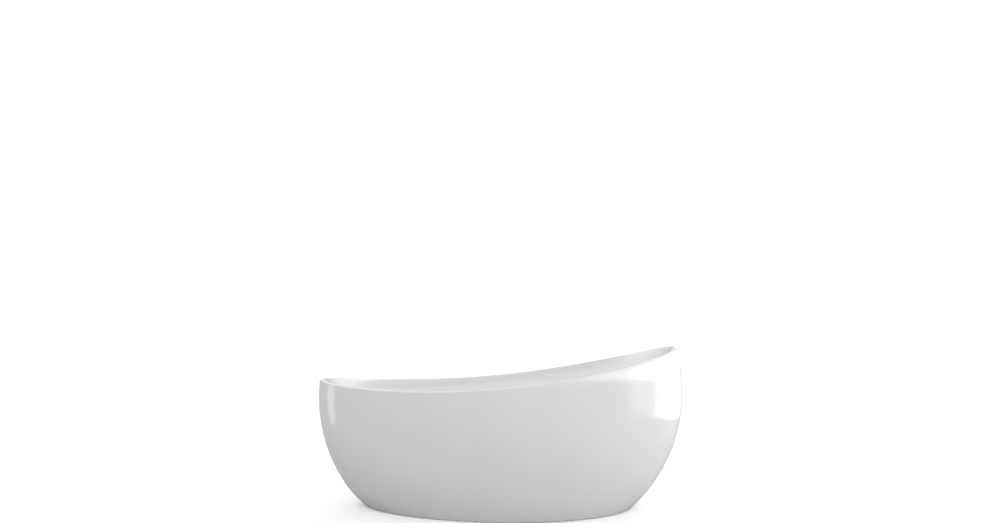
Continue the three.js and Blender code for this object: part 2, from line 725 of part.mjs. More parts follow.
add('waste_body', wasteBody(), greyPlastic, waste);

// Crank inside the waste: a pin through the wall, an arm under the stem and an arm on the cable.
function liftLever() {
  const [tip, thick] = [LEVER_TIP_RADIUS, LEVER_ARM_THICKNESS / 2];
  const pin = rodAlong('y', LEVER_PIN_RADIUS, -LEVER_PIN_RADIUS, LEVER_OUTSIDE_Y);
  const arm = block([-LEVER_ARM, -tip, -thick], [0, tip, thick]);
  const end = rodAlong('y', tip, -tip, tip).translate(-LEVER_ARM, 0, 0);
  const half = PULL_ARM_WIDTH / 2;
  const inner = LEVER_OUTSIDE_Y - PULL_ARM_WIDTH;
  const pull = block([-half, inner, -PULL_ARM_LENGTH], [half, LEVER_OUTSIDE_Y, 0]);
  return joined(pin, arm, end, pull);
}

add('lift_lever', liftLever(), zincSteel, waste).position.set(LEVER_ARM, 0, LEVER_HEIGHT);

// ---- Trap and outlet ----------------------------------------------------------------------

const dipOutside = DIP_RADIUS + TRAP_WALL;
const dipBottom = TRAP_BOTTOM + DIP_HEIGHT;
const coverBottom = TRAP_TOP - TRAP_COVER_HEIGHT;
const coverRadius = TRAP_RADIUS + 2;
const sealBottom = TRAP_TOP + GAP;
const sealRadii = [DIP_RADIUS + TRAP_SEAL_INSET, WASTE_BODY_RADIUS - TRAP_SEAL_INSET];
add('trap_seal', ring(...sealRadii, sealBottom, bodyBottom - GAP, SEAL_STEPS), rubber, waste);
const nutTop = TRAP_TOP + TRAP_NUT_HEIGHT;
const trapNut = ring(holeRound(WASTE_BODY_RADIUS), TRAP_NUT_RADIUS, sealBottom, nutTop);
add('trap_nut', trapNut, blackPlastic, waste);
add('trap_cover', turned([
  [DIP_RADIUS, dipBottom], [dipOutside, dipBottom], [dipOutside, coverBottom],
  [coverRadius, coverBottom], [coverRadius, TRAP_TOP], [DIP_RADIUS, TRAP_TOP], [DIP_RADIUS, dipBottom],
]), greyPlastic, waste);

function trapPot() {
  const top = coverBottom - GAP;
  const inside = TRAP_RADIUS - TRAP_WALL;
  const pot = turned([
    [0, TRAP_BOTTOM], [TRAP_RADIUS - TRAP_BEVEL, TRAP_BOTTOM], [TRAP_RADIUS, TRAP_BOTTOM + TRAP_BEVEL],
    [TRAP_RADIUS, top], [inside, top], [inside, TRAP_BOTTOM + TRAP_WALL], [0, TRAP_BOTTOM + TRAP_WALL],
  ]);
  const start = TRAP_RADIUS - 2;
  const end = start + SPIGOT_LENGTH;
  const spigot = rodAlong('x', SPIGOT_RADIUS, start, end, ROUND_STEPS);
  const bore = rodAlong('x', SPIGOT_RADIUS - 2, inside - 5, end + 1, ROUND_STEPS);
  return cut(joined(pot, spigot.translate(0, 0, OUTLET_HEIGHT)), bore.translate(0, 0, OUTLET_HEIGHT));
}

add('trap_pot', trapPot(), greyPlastic, waste);

const socket = holeRound(SPIGOT_RADIUS); // the pipe's narrow end slips over the spigot
const pipeBore = OUTLET_RADIUS - OUTLET_WALL;
const pipeEnd = OUTLET_END_X - WASTE_X;
const socketEnd = OUTLET_START + OUTLET_SOCKET_DEPTH;
const pipe = turned([
  [socket, OUTLET_START], [OUTLET_RADIUS, OUTLET_START], [OUTLET_RADIUS, pipeEnd], [pipeBore, pipeEnd],
  [pipeBore, socketEnd + OUTLET_TAPER], [socket, socketEnd], [socket, OUTLET_START],
]);
const collarEnd = OUTLET_START + OUTLET_NUT_LENGTH;
const collar = ring(holeRound(OUTLET_RADIUS), OUTLET_RADIUS + OUTLET_NUT_WALL, OUTLET_START, collarEnd);
add('outlet_pipe', pipe.rotateY(Math.PI / 2), greyPlastic, waste).position.z = OUTLET_HEIGHT;
add('outlet_nut', collar.rotateY(Math.PI / 2), blackPlastic, waste).position.z = OUTLET_HEIGHT;

// ---- Rotary overflow ----------------------------------------------------------------------

// Its group's +Z is the axis of the knob, out of the wall; +X runs down the slope of the wall.
const overflowUnit = new THREE.Group();
overflowUnit.position.copy(overflow.seat);
overflowUnit.rotation.y = overflow.lean;
tub.add(overflowUnit);

const seatTop = SEAT + GAP;
const rosetteTop = SEAT + ROSETTE_HEIGHT;
const overflowSleeve = OVERFLOW_HOLE_RADIUS - OVERFLOW_CLEARANCE;
const overflowBore = overflowSleeve - OVERFLOW_SLEEVE_WALL;
add('overflow_rosette', turned([
  [overflowBore, -OVERFLOW_SLEEVE], [overflowSleeve, -OVERFLOW_SLEEVE], [overflowSleeve, seatTop],
  [ROSETTE_RADIUS - ROSETTE_EDGE / 2, seatTop], [ROSETTE_RADIUS, SEAT + ROSETTE_EDGE],
  [ROSETTE_RADIUS - ROSETTE_HEIGHT / 2, rosetteTop], [overflowBore, rosetteTop],
  [overflowBore, -OVERFLOW_SLEEVE],
], FINE_STEPS), chrome, overflowUnit);

const knobBottom = rosetteTop + KNOB_LIFT;
const knobTop = knobBottom + KNOB_HEIGHT;
const knobCeiling = knobTop - KNOB_TOP_WALL;
const spindleTop = knobBottom + SPINDLE_REACH;
add('overflow_knob', turned([
  [0, spindleTop + GAP], [KNOB_BOSS_RADIUS, spindleTop + GAP], [KNOB_BOSS_RADIUS, knobCeiling],
  [KNOB_RADIUS - 2 * KNOB_WALL, knobCeiling], [KNOB_RADIUS - KNOB_WALL, knobBottom],
  [KNOB_RADIUS, knobBottom], [KNOB_RADIUS - KNOB_DOME, knobTop - KNOB_SHOULDER],
  [KNOB_RADIUS - KNOB_SHOULDER + KNOB_DOME, knobTop - KNOB_DOME], [0, knobTop],
], FINE_STEPS), chrome, overflowUnit);

const spindle = disc(SPINDLE_RADIUS, CUP_BACK - SPINDLE_TAIL, spindleTop, SMALL_STEPS);
add('knob_spindle', spindle, brass, overflowUnit);
const spoolTop = CUP_BACK - CUP_WALL;
const spoolBore = holeRound(SPINDLE_RADIUS, SEAL_STEPS);
const spool = ring(spoolBore, SPOOL_RADIUS, spoolTop - SPOOL_HEIGHT, spoolTop, SEAL_STEPS);
add('cable_spool', spool, blackPlastic, overflowUnit);

const gasketFace = BACK_SEAT - GAP; // behind the wall
const gasketBack = gasketFace - GASKET_HEIGHT;
const gasketInside = OVERFLOW_HOLE_RADIUS + OVERFLOW_CLEARANCE;
const gasket = ring(gasketInside, ROSETTE_RADIUS, gasketBack, gasketFace, SEAL_STEPS);
add('overflow_gasket', gasket, rubber, overflowUnit);

function overflowCup() {
  const top = gasketBack - GAP;
  const floor = CUP_BACK + CUP_WALL;
  const hole = holeRound(SPINDLE_RADIUS);
  const cup = turned([
    [OVERFLOW_HOLE_RADIUS, top], [OVERFLOW_HOLE_RADIUS, floor], [hole, floor], [hole, CUP_BACK],
    [CUP_RADIUS, CUP_BACK], [CUP_RADIUS, top - CUP_WALL], [ROSETTE_RADIUS, top - CUP_WALL],
    [ROSETTE_RADIUS, top], [OVERFLOW_HOLE_RADIUS, top],
  ]);
  const start = OVERFLOW_HOLE_RADIUS + 1;
  const nozzle = rodAlong('x', NOZZLE_RADIUS, start, NOZZLE_END - 8, ROUND_STEPS);
  const bore = rodAlong('x', NOZZLE_RADIUS - NOZZLE_WALL, start / 2, NOZZLE_END, ROUND_STEPS);
  return cut(joined(cup, nozzle.translate(0, 0, HOSE_LEVEL)), bore.translate(0, 0, HOSE_LEVEL));
}

add('overflow_cup', overflowCup(), greyPlastic, overflowUnit);

const coverTop = CUP_BACK - GAP;
const coverBack = coverTop - COVER_HEIGHT;
const coverInside = COVER_RADIUS - COVER_WALL;
const cableLevel = (coverTop + coverBack) / 2;
const cover = turned([
  [coverInside, coverTop], [coverInside, coverBack + COVER_WALL], [0, coverBack + COVER_WALL],
  [0, coverBack], [COVER_RADIUS, coverBack], [COVER_RADIUS, coverTop], [coverInside, coverTop],
]);
const cableBore = holeRound(CABLE_RADIUS, SMALL_STEPS);
const cableHole = rodAlong('x', cableBore, coverInside - 4, COVER_RADIUS + 4);
add('cable_cover', cut(cover, cableHole.translate(0, 0, cableLevel)), blackPlastic, overflowUnit);

// ---- Hose and cable from the overflow to the waste ----------------------------------------

// Point of the overflow unit in the tub's own frame.
function fromOverflow(x, y, z) {
  const point = new THREE.Vector3(x, y, z).applyAxisAngle(new THREE.Vector3(0, 1, 0), overflow.lean);
  return point.add(overflow.seat).toArray();
}

const branchEnd = WASTE_X - BRANCH_LENGTH;
add('overflow_hose', tubeAlong([
  fromOverflow(NOZZLE_END - 16, 0, HOSE_LEVEL),
  fromOverflow(NOZZLE_END, 0, HOSE_LEVEL),
  fromOverflow(NOZZLE_END + 30, 0, HOSE_LEVEL - 6),
  [-688, 0, 260],
  [-640, 0, 150],
  [-575, 0, 98],
  [branchEnd - 40, 0, BRANCH_HEIGHT + 1],
  [branchEnd - 2, 0, BRANCH_HEIGHT],
  [branchEnd + 10, 0, BRANCH_HEIGHT],
], HOSE_RADIUS, HOSE_WALL, HOSE_SIDES, HOSE_STEPS), greyPlastic);

const clamp = ring(holeRound(HOSE_RADIUS), HOSE_RADIUS + CLAMP_WALL, -CLAMP_WIDTH / 2, CLAMP_WIDTH / 2);
clamp.rotateY(Math.PI / 2);
const bottomClamp = add('hose_clamp_bottom', clamp, zincSteel);
bottomClamp.position.set(branchEnd + 5, 0, BRANCH_HEIGHT);
const topClamp = add('hose_clamp_top', clamp, zincSteel, overflowUnit);
topClamp.position.set(NOZZLE_END - 9, 0, HOSE_LEVEL);

add('bowden_cable', tubeAlong([
  fromOverflow(COVER_RADIUS + GAP, 0, cableLevel),
  fromOverflow(50, 2, cableLevel - 3),
  [-740, 18, 300],
  [-690, 28, 190],
  [-610, CABLE_OFFSET, 112],
  [-520, CABLE_OFFSET, 80],
  [WASTE_X - 50, CABLE_OFFSET, 69],
  [WASTE_X + CABLE_LUG[0][0] - GAP, CABLE_OFFSET, 68],
], CABLE_RADIUS, 0, CABLE_SIDES, CABLE_STEPS), blackPlastic);

export default tub;
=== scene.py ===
"""Freestanding egg-shaped bathtub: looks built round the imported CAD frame. Metres, +Z up."""
import json
import math

import bmesh
import bpy
from mathutils import Matrix, Quaternion, Vector


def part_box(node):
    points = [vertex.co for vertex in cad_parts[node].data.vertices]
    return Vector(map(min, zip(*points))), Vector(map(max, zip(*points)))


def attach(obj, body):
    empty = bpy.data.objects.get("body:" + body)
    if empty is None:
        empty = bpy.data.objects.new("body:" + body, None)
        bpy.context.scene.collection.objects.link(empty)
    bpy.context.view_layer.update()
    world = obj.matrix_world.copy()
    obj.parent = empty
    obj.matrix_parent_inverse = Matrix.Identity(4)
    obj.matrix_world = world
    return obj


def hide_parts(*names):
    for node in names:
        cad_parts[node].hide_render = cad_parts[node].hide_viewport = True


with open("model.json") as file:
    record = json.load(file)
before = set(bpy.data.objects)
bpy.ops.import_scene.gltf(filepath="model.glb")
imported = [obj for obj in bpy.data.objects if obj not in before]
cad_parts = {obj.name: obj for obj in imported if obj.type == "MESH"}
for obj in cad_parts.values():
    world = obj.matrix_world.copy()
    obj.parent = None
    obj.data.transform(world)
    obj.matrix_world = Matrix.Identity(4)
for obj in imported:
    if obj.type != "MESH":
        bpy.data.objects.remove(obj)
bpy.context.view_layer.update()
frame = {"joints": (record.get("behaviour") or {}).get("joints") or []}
TAU = 2 * math.pi

# ---- Driving sizes of the tub's body, as in the CAD part ----------------------------------

HALF_LENGTH = 0.950
HALF_WIDTH = 0.475
EGG = 0.12  # how much fuller the head half is than the foot half
GIRTH_HEIGHT = 0.580  # of the widest line, higher at the head end by the tilt
GIRTH_TILT = 0.012
BELLY_DEPTH = 0.840  # curve of the skin below the girth
BROW_DEPTH = 1.000  # and above it
SWELL_POWER = 2.06
TUCK = 0.008  # the ends tuck in by this much more at the floor,
TUCK_FOOTWARD = 0.006  # the foot end by this much again, and the head end by this much less,
TUCK_HEIGHT = 0.100  # fading out at this height
RIM_LOW = 0.603
RIM_LOW_X = -0.432
RIM_HEAD = 0.800
RIM_HEAD_X = 0.931
LIP_RADIUS = 0.008
LIP_DROP = 0.022
LIP_THICKNESS = 0.005
LIP_INNER_END = 130  # degrees that the lip turns through before the inside wall starts
BASIN_WALL = 0.006
SHELL_WALL = 0.007
SHELL_TONGUE_WALL = 0.0042
SHELL_FLOOR_GAP = 0.003
GAP = 0.0003  # between bonded pieces
SEAM = 0.0001  # hairline under the lip
EDGE = 0.0002  # rounding along the seam
HEM = 0.0015  # rounding at the bottom of the shell
FLOOR_CENTRE_X = -0.017
FLOOR_HALF_LENGTH = 0.541
FLOOR_HALF_WIDTH = 0.272
FLOOR_LEVEL = 0.120
FLOOR_FALL = 0.01  # rise per metre towards the head, so that water runs to the waste
FLOOR_FILLET = 0.030
# Handles of the inside wall's curve, as shares of the way across and down.
SIDE_CURVE = ((0.30, 0.07), (0.52, 0.34))
BACKREST_CURVE = ((0.28, 0.16), (0.55, 0.48))
WALL_CURVE_END = 0.95
PLAN_STEPS = 288


def mix(start, end, share):
    return start + (end - start) * share


def span(count, start, end):
    return [mix(start, end, i / (count - 1)) for i in range(count)]


# ---- Camera -------------------------------------------------------------------------------

def make_camera():
    """Low side view, a little above the rim, as in the photograph's side view."""
    tilt_up = 6.73
    data = bpy.data.cameras.new("camera")
    data.lens = 21.93
    data.sensor_width = 36
    camera = bpy.data.objects.new("camera", data)
    bpy.context.scene.collection.objects.link(camera)
    camera.location = (-0.001, -3.2795, 0.8696)
    camera.rotation_euler = (math.radians(90 + tilt_up), 0, 0)
    bpy.context.scene.camera = camera


make_camera()


# ---- Mesh tools ---------------------------------------------------------------------------

def mesh_object(name, points, faces, smooth_angle=35):
    mesh = bpy.data.meshes.new(name)
    mesh.from_pydata([tuple(p) for p in points], [], faces)
    mesh.update()
    tidy = bmesh.new()
    tidy.from_mesh(mesh)
    bmesh.ops.remove_doubles(tidy, verts=tidy.verts, dist=1e-6)
    bmesh.ops.recalc_face_normals(tidy, faces=tidy.faces)
    tidy.to_mesh(mesh)
    tidy.free()
    piece = bpy.data.objects.new(name, mesh)
    bpy.context.scene.collection.objects.link(piece)
    shade(piece, smooth_angle)
    return piece


def shade(piece, angle):
    """Smooth faces, with edges sharper than `angle` degrees kept crisp."""
    mesh = piece.data
    mesh.shade_smooth()
    mesh.set_sharp_from_angle(angle=math.radians(angle))


def grid_faces(rows, columns, close_rows):
    faces = []
    for row in range(rows if close_rows else rows - 1):
        above = (row + 1) % rows
        for column in range(columns):
            following = (column + 1) % columns
            faces.append((
                row * columns + column, row * columns + following,
                above * columns + following, above * columns + column,
            ))
    return faces


def loft(name, rings, capped):
    """Skin through rings of points; closed on itself, or capped with a flat face at each end."""
    columns = len(rings[0])
    faces = grid_faces(len(rings), columns, close_rows=not capped)
    if capped:
        faces.append(tuple(range(columns)))
        last = (len(rings) - 1) * columns
        faces.append(tuple(range(last, last + columns)))
    points = [point for ring in rings for point in ring]
    return mesh_object(name, points, faces)


def turned(name, profile, steps=96, wobble=None, smooth_angle=35):
    """Closed solid turned about +Z from (radius, height) points. The profile closes on itself,
    or starts and ends on the axis. wobble(angle, radius, height) may change a radius."""
    on_axis = profile[0][0] < 1e-9
    body = profile[1:-1] if on_axis else profile
    points = []
    for radius, height in body:
        for step in range(steps):
            angle = TAU * step / steps
            reach = wobble(angle, radius, height) if wobble else radius
            points.append((reach * math.cos(angle), reach * math.sin(angle), height))
    faces = grid_faces(len(body), steps, close_rows=not on_axis)
    if on_axis:
        for end, row in ((0, 0), (-1, len(body) - 1)):
            centre = len(points)
            points.append((0, 0, profile[end][1]))
            for step in range(steps):
                faces.append((centre, row * steps + step, row * steps + (step + 1) % steps))
    return mesh_object(name, points, faces, smooth_angle)


def rounded(profile, radius, steps=4, closed=True):
    """The profile with its corners rounded. On an open profile both ends stay."""
    done = []
    count = len(profile)
    for i, corner in enumerate(profile):
        if not closed and i in (0, count - 1):
            done.append(corner)
            continue
        here = Vector(corner)
        before = Vector(profile[i - 1]) - here
        after = Vector(profile[(i + 1) % count]) - here
        cut = min(radius, before.length * 0.45, after.length * 0.45)
        start = here + before.normalized() * cut
        end = here + after.normalized() * cut
        for step in range(steps + 1):
            t = step / steps
            point = start * (1 - t) ** 2 + here * 2 * t * (1 - t) + end * t ** 2
            done.append((point.x, point.y))
    return done


def ring_profile(inner, outer, bottom, top):
    return [(inner, bottom), (outer, bottom), (outer, top), (inner, top)]


def move(piece, matrix):
    piece.data.transform(matrix)
    piece.data.update()
    return piece


def boolean(piece, tool, operation="DIFFERENCE"):
    """Cuts or joins with another closed object, which is used up."""
    modifier = piece.modifiers.new("cut", "BOOLEAN")
    modifier.object = tool
    modifier.operation = operation
    modifier.solver = "EXACT"
    graph = bpy.context.evaluated_depsgraph_get()
    result = bpy.data.meshes.new_from_object(piece.evaluated_get(graph))
    piece.modifiers.clear()
    piece.data = result
    bpy.data.objects.remove(tool)
    return piece


def bevelled(piece, width, segments):
    modifier = piece.modifiers.new("edge", "BEVEL")
    modifier.width = width
    modifier.segments = segments
    modifier.limit_method = "ANGLE"
    modifier.angle_limit = math.radians(30)
    modifier.harden_normals = True
    return piece


def block(name, low, high, bevel=0.0):
    corners = [(x, y, z) for z in (low[2], high[2]) for y in (low[1], high[1]) for x in (low[0], high[0])]
    faces = [(0, 1, 3, 2), (4, 5, 7, 6), (0, 1, 5, 4), (2, 3, 7, 6), (0, 2, 6, 4), (1, 3, 7, 5)]
    piece = mesh_object(name, corners, faces)
    if bevel:
        work = bmesh.new()
        work.from_mesh(piece.data)
        bmesh.ops.bevel(work, geom=work.edges[:], offset=bevel, segments=3, affect="EDGES", profile=0.5)
        work.to_mesh(piece.data)
        work.free()
        shade(piece, 35)
    return piece


def place(piece, node, body, material):
    """The finished piece stands for a CAD node, rides on its body and takes its slot and look."""
    if material is not None:
        piece.data.materials.clear()
        piece.data.materials.append(material)
    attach(piece, body)
    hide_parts(node)
    return piece


# ---- Materials ----------------------------------------------------------------------------

class Surface:
    """A Principled material with helpers for procedural variation in object space."""

    def __init__(self, name, color, roughness, metallic=0.0, **sockets):
        self.material = bpy.data.materials.new(name)
        self.material.use_nodes = True
        self.tree = self.material.node_tree
        self.shader = self.tree.nodes["Principled BSDF"]
        self.shader.inputs["Base Color"].default_value = (*color, 1)
        self.shader.inputs["Roughness"].default_value = roughness
        self.shader.inputs["Metallic"].default_value = metallic
        for socket, value in sockets.items():
            self.shader.inputs[socket.replace("_", " ")].default_value = value
        self.position = self.node("ShaderNodeTexCoord").outputs["Object"]

    def node(self, kind, **settings):
        node = self.tree.nodes.new(kind)
        for key, value in settings.items():
            setattr(node, key, value)
        return node

    def link(self, source, target):
        self.tree.links.new(source, target)

    def stretched(self, scale):
        mapping = self.node("ShaderNodeMapping")
        mapping.inputs["Scale"].default_value = scale
        self.link(self.position, mapping.inputs["Vector"])
        return mapping.outputs["Vector"]

    def noise(self, scale, detail=4.0, roughness=0.5, stretch=None, distortion=0.0):
        node = self.node("ShaderNodeTexNoise")
        node.inputs["Scale"].default_value = scale
        node.inputs["Detail"].default_value = detail
        node.inputs["Roughness"].default_value = roughness
        node.inputs["Distortion"].default_value = distortion
        self.link(self.stretched(stretch) if stretch else self.position, node.inputs["Vector"])
        return node.outputs["Fac"]

    def cells(self, scale, feature="F1", output="Distance", stretch=None):
        node = self.node("ShaderNodeTexVoronoi", feature=feature)
        node.inputs["Scale"].default_value = scale
        self.link(self.stretched(stretch) if stretch else self.position, node.inputs["Vector"])
        return node.outputs[output]

    def between(self, factor, low, high, start=0.0, end=1.0):
        """A number that runs from low to high as factor runs from start to end."""
        node = self.node("ShaderNodeMapRange")
        self.link(factor, node.inputs["Value"])
        for name, value in (("From Min", start), ("From Max", end), ("To Min", low), ("To Max", high)):
            node.inputs[name].default_value = value
        return node.outputs["Result"]

    def ramp(self, factor, *stops):
        node = self.node("ShaderNodeValToRGB")
        ramp = node.color_ramp
        while len(ramp.elements) < len(stops):
            ramp.elements.new(0.5)
        for element, (position, color) in zip(ramp.elements, stops):
            element.position = position
            element.color = (*color, 1)
        self.link(factor, node.inputs["Fac"])
        return node.outputs["Color"]

    def colour(self, source):
        self.link(source, self.shader.inputs["Base Color"])
        return self

    def rough(self, source):
        self.link(source, self.shader.inputs["Roughness"])
        return self

    def bump(self, height, distance, strength=1.0):
        node = self.node("ShaderNodeBump")
        node.inputs["Distance"].default_value = distance
        node.inputs["Strength"].default_value = strength
        self.link(height, node.inputs["Height"])
        previous = self.shader.inputs["Normal"].links
        if previous:
            self.link(previous[0].from_socket, node.inputs["Normal"])
        self.link(node.outputs["Normal"], self.shader.inputs["Normal"])
        return self


def tint(color, factor):
    return tuple(min(1.0, c * factor) for c in color)


def make_acrylic():
    """Cast white sanitary acrylic: a deep gloss with the faintest waviness from moulding."""
    white = (0.76, 0.766, 0.772)
    s = Surface("acrylic", white, 0.09, IOR=1.49, Coat_Weight=0.35, Coat_Roughness=0.03)
    s.colour(s.ramp(s.noise(3.0, 3), (0.3, tint(white, 0.985)), (0.7, tint(white, 1.012))))
    s.rough(s.between(s.noise(26.0, 5), 0.075, 0.13, 0.35, 0.7))
    s.bump(s.noise(6.5, 2), 0.0012, 0.35)
    s.bump(s.noise(900.0, 2), 0.00001, 0.3)
    return s.material


def make_laminate():
    """Glass-fibre back of the acrylic: milky resin over chopped strands."""
    resin = (0.62, 0.60, 0.50)
    s = Surface("laminate", resin, 0.5, IOR=1.52)
    strands = s.noise(60.0, 6, 0.65, stretch=(1.0, 5.0, 2.0), distortion=1.2)
    across = s.noise(55.0, 6, 0.65, stretch=(5.0, 1.0, 2.0), distortion=1.2)
    s.colour(s.ramp(strands, (0.32, tint(resin, 0.72)), (0.55, resin), (0.75, tint(resin, 1.3))))
    s.rough(s.between(across, 0.32, 0.7, 0.3, 0.7))
    s.bump(strands, 0.0016, 0.6)
    s.bump(across, 0.0016, 0.6)
    return s.material


def make_chrome():
    s = Surface("chrome", (0.62, 0.63, 0.64), 0.05, 1.0)
    s.rough(s.between(s.noise(220.0, 5, 0.6), 0.03, 0.085, 0.35, 0.7))
    s.colour(s.ramp(s.noise(60.0, 3), (0.3, (0.58, 0.59, 0.605)), (0.7, (0.65, 0.66, 0.67))))
    s.bump(s.noise(140.0, 3), 0.00004, 0.4)
    return s.material


def make_zinc():
    """Zinc-plated steel: fine spangle, faint rolling lines and duller patches."""
    zinc = (0.56, 0.575, 0.59)
    s = Surface("zinc_steel", zinc, 0.36, 0.92)
    spangle = s.cells(240.0, output="Color")
    grey = s.node("ShaderNodeRGBToBW")
    s.link(spangle, grey.inputs["Color"])
    s.colour(s.ramp(grey.outputs["Val"], (0.1, tint(zinc, 0.86)), (0.9, tint(zinc, 1.14))))
    s.rough(s.between(s.noise(90.0, 5, 0.6, stretch=(1, 6, 6)), 0.26, 0.5, 0.3, 0.7))
    s.bump(s.noise(700.0, 4, 0.6), 0.00006, 0.5)
    return s.material


def make_brass():
    s = Surface("brass", (0.72, 0.53, 0.24), 0.26, 1.0)
    s.rough(s.between(s.noise(300.0, 4, stretch=(1, 1, 9)), 0.18, 0.36, 0.3, 0.7))
    s.colour(s.ramp(s.noise(90.0, 4), (0.3, (0.64, 0.46, 0.2)), (0.7, (0.78, 0.58, 0.27))))
    return s.material


def make_plastic(name, color, roughness):
    """Moulded plastic with a fine eroded grain and slightly uneven sheen."""
    s = Surface(name, color, roughness, IOR=1.49)
    s.colour(s.ramp(s.noise(34.0, 4), (0.3, tint(color, 0.9)), (0.7, tint(color, 1.08))))
    s.rough(s.between(s.noise(70.0, 5), roughness * 0.8, roughness * 1.25, 0.3, 0.7))
    s.bump(s.noise(900.0, 3, 0.6), 0.00008, 0.6)
    return s.material


def make_rubber():
    s = Surface("rubber", (0.032, 0.032, 0.034), 0.72, IOR=1.52)
    s.colour(s.ramp(s.noise(120.0, 5), (0.3, (0.024, 0.024, 0.026)), (0.7, (0.045, 0.045, 0.047))))
    s.rough(s.between(s.noise(260.0, 4), 0.6, 0.85, 0.3, 0.7))
    s.bump(s.noise(1100.0, 3), 0.0001, 0.6)
    return s.material


def make_board():
    """Particle board under a brushed coat of resin."""
    tan = (0.50, 0.39, 0.24)
    s = Surface("base_board", tan, 0.45, IOR=1.5, Coat_Weight=0.3, Coat_Roughness=0.25)
    chips = s.cells(210.0, output="Color", stretch=(1.0, 1.6, 1.0))
    grey = s.node("ShaderNodeRGBToBW")
    s.link(chips, grey.inputs["Color"])
    s.colour(s.ramp(grey.outputs["Val"], (0.1, tint(tan, 0.62)), (0.5, tan), (0.9, tint(tan, 1.35))))
    s.rough(s.between(s.noise(40.0, 5), 0.34, 0.62, 0.3, 0.7))
    s.bump(s.cells(210.0, stretch=(1.0, 1.6, 1.0)), 0.0004, 0.5)
    return s.material


ACRYLIC = make_acrylic()
LAMINATE = make_laminate()
CHROME = make_chrome()
ZINC = make_zinc()
BRASS = make_brass()
GREY = make_plastic("grey_plastic", (0.52, 0.53, 0.54), 0.42)
BLACK = make_plastic("black_plastic", (0.035, 0.036, 0.039), 0.45)
RUBBER = make_rubber()
BOARD = make_board()


# ---- Shape of the tub ---------------------------------------------------------------------

def egg_width(angle):
    return math.sin(angle) * (1 + EGG * math.cos(angle)) / (1 + EGG * EGG / 2)


def outward(angle):
    return Vector((math.cos(angle) / HALF_LENGTH, math.sin(angle) / HALF_WIDTH, 0)).normalized()


def girth_at(angle):
    return GIRTH_HEIGHT + GIRTH_TILT * math.cos(angle)


def tuck_at(angle, height):
    low = max(0, 1 - height / TUCK_HEIGHT)
    return math.cos(angle) ** 2 * (TUCK - TUCK_FOOTWARD * math.cos(angle)) * low ** 2


def skin(angle, height, inset=0.0):
    """Point of the outer skin at a plan angle (0 at the head) and height, moved in by inset."""
    girth = girth_at(angle)
    depth = BELLY_DEPTH if height < girth else BROW_DEPTH
    swell = math.sqrt(1 - abs((girth - height) / depth) ** SWELL_POWER)
    x = HALF_LENGTH * swell * math.cos(angle)
    y = HALF_WIDTH * swell * egg_width(angle)
    return Vector((x, y, height)) - outward(angle) * (inset + tuck_at(angle, height))


def rim_height(x):
    return RIM_LOW + (RIM_HEAD - RIM_LOW) * ((x - RIM_LOW_X) / (RIM_HEAD_X - RIM_LOW_X)) ** 2


def rim_at(angle):
    """Height of the rim at a plan angle, found by stepping between the skin and the rim line."""
    height = RIM_LOW
    for _ in range(20):
        height = rim_height(skin(angle, height).x)
    return height


def floor_height(x):
    return FLOOR_LEVEL + FLOOR_FALL * x


def floor_point(angle, inset=0.0):
    x = FLOOR_CENTRE_X + (FLOOR_HALF_LENGTH - inset) * math.cos(angle)
    y = (FLOOR_HALF_WIDTH - inset) * egg_width(angle)
    return Vector((x, y, floor_height(x)))


def crown_point(angle, rim, degrees):
    turn = math.radians(degrees)
    point = skin(angle, rim - LIP_RADIUS, LIP_RADIUS * (1 - math.cos(turn)))
    point.z = rim - LIP_RADIUS + LIP_RADIUS * math.sin(turn)
    return point


def wall_point(angle, rim, t):
    """Inside wall from the crown of the lip (t = 0) to the floor (t = 1)."""
    headward = ((1 + math.cos(angle)) / 2) ** 2
    (ax, ay), (bx, by) = (
        [mix(side, rest, headward) for side, rest in zip(*pair)]
        for pair in zip(SIDE_CURVE, BACKREST_CURVE)
    )
    across = 3 * (1 - t) ** 2 * t * ax + 3 * (1 - t) * t * t * bx + t ** 3
    down = 3 * (1 - t) ** 2 * t * ay + 3 * (1 - t) * t * t * by + t ** 3
    top = crown_point(angle, rim, LIP_INNER_END)
    bottom = floor_point(angle)
    point = top.lerp(bottom, across)
    point.z = mix(top.z, bottom.z, down)
    return point


def inside_section(angle, rim):
    """From the middle of the floor out, round the fillet and up to the crown of the lip."""
    flat = [floor_point(angle, FLOOR_HALF_WIDTH * share) for share in (0.85, 0.6, 0.35, 0.18)]
    inner = floor_point(angle, FLOOR_FILLET)
    corner = floor_point(angle)
    start = wall_point(angle, rim, WALL_CURVE_END)
    fillet = [
        inner * (1 - t) ** 2 + corner * 2 * t * (1 - t) + start * t * t for t in span(9, 0, 1)[1:-1]
    ]
    wall = [wall_point(angle, rim, t) for t in span(44, WALL_CURVE_END, 0)]
    return [*flat, inner, *fillet, *wall]


def behind(points, angle, thickness):
    """The same points moved through the wall's thickness, to its back."""
    out = outward(angle)
    moved = []
    for i, point in enumerate(points):
        run = points[min(i + 1, len(points) - 1)] - points[max(i - 1, 0)]
        along = Vector((run.dot(out), run.z)).normalized()
        moved.append(point + out * along.y * thickness - Vector((0, 0, along.x * thickness)))
    return moved


def rings_of(section):
    columns = [section(TAU * step / PLAN_STEPS) for step in range(PLAN_STEPS)]
    return [[column[row] for column in columns] for row in range(len(columns[0]))]


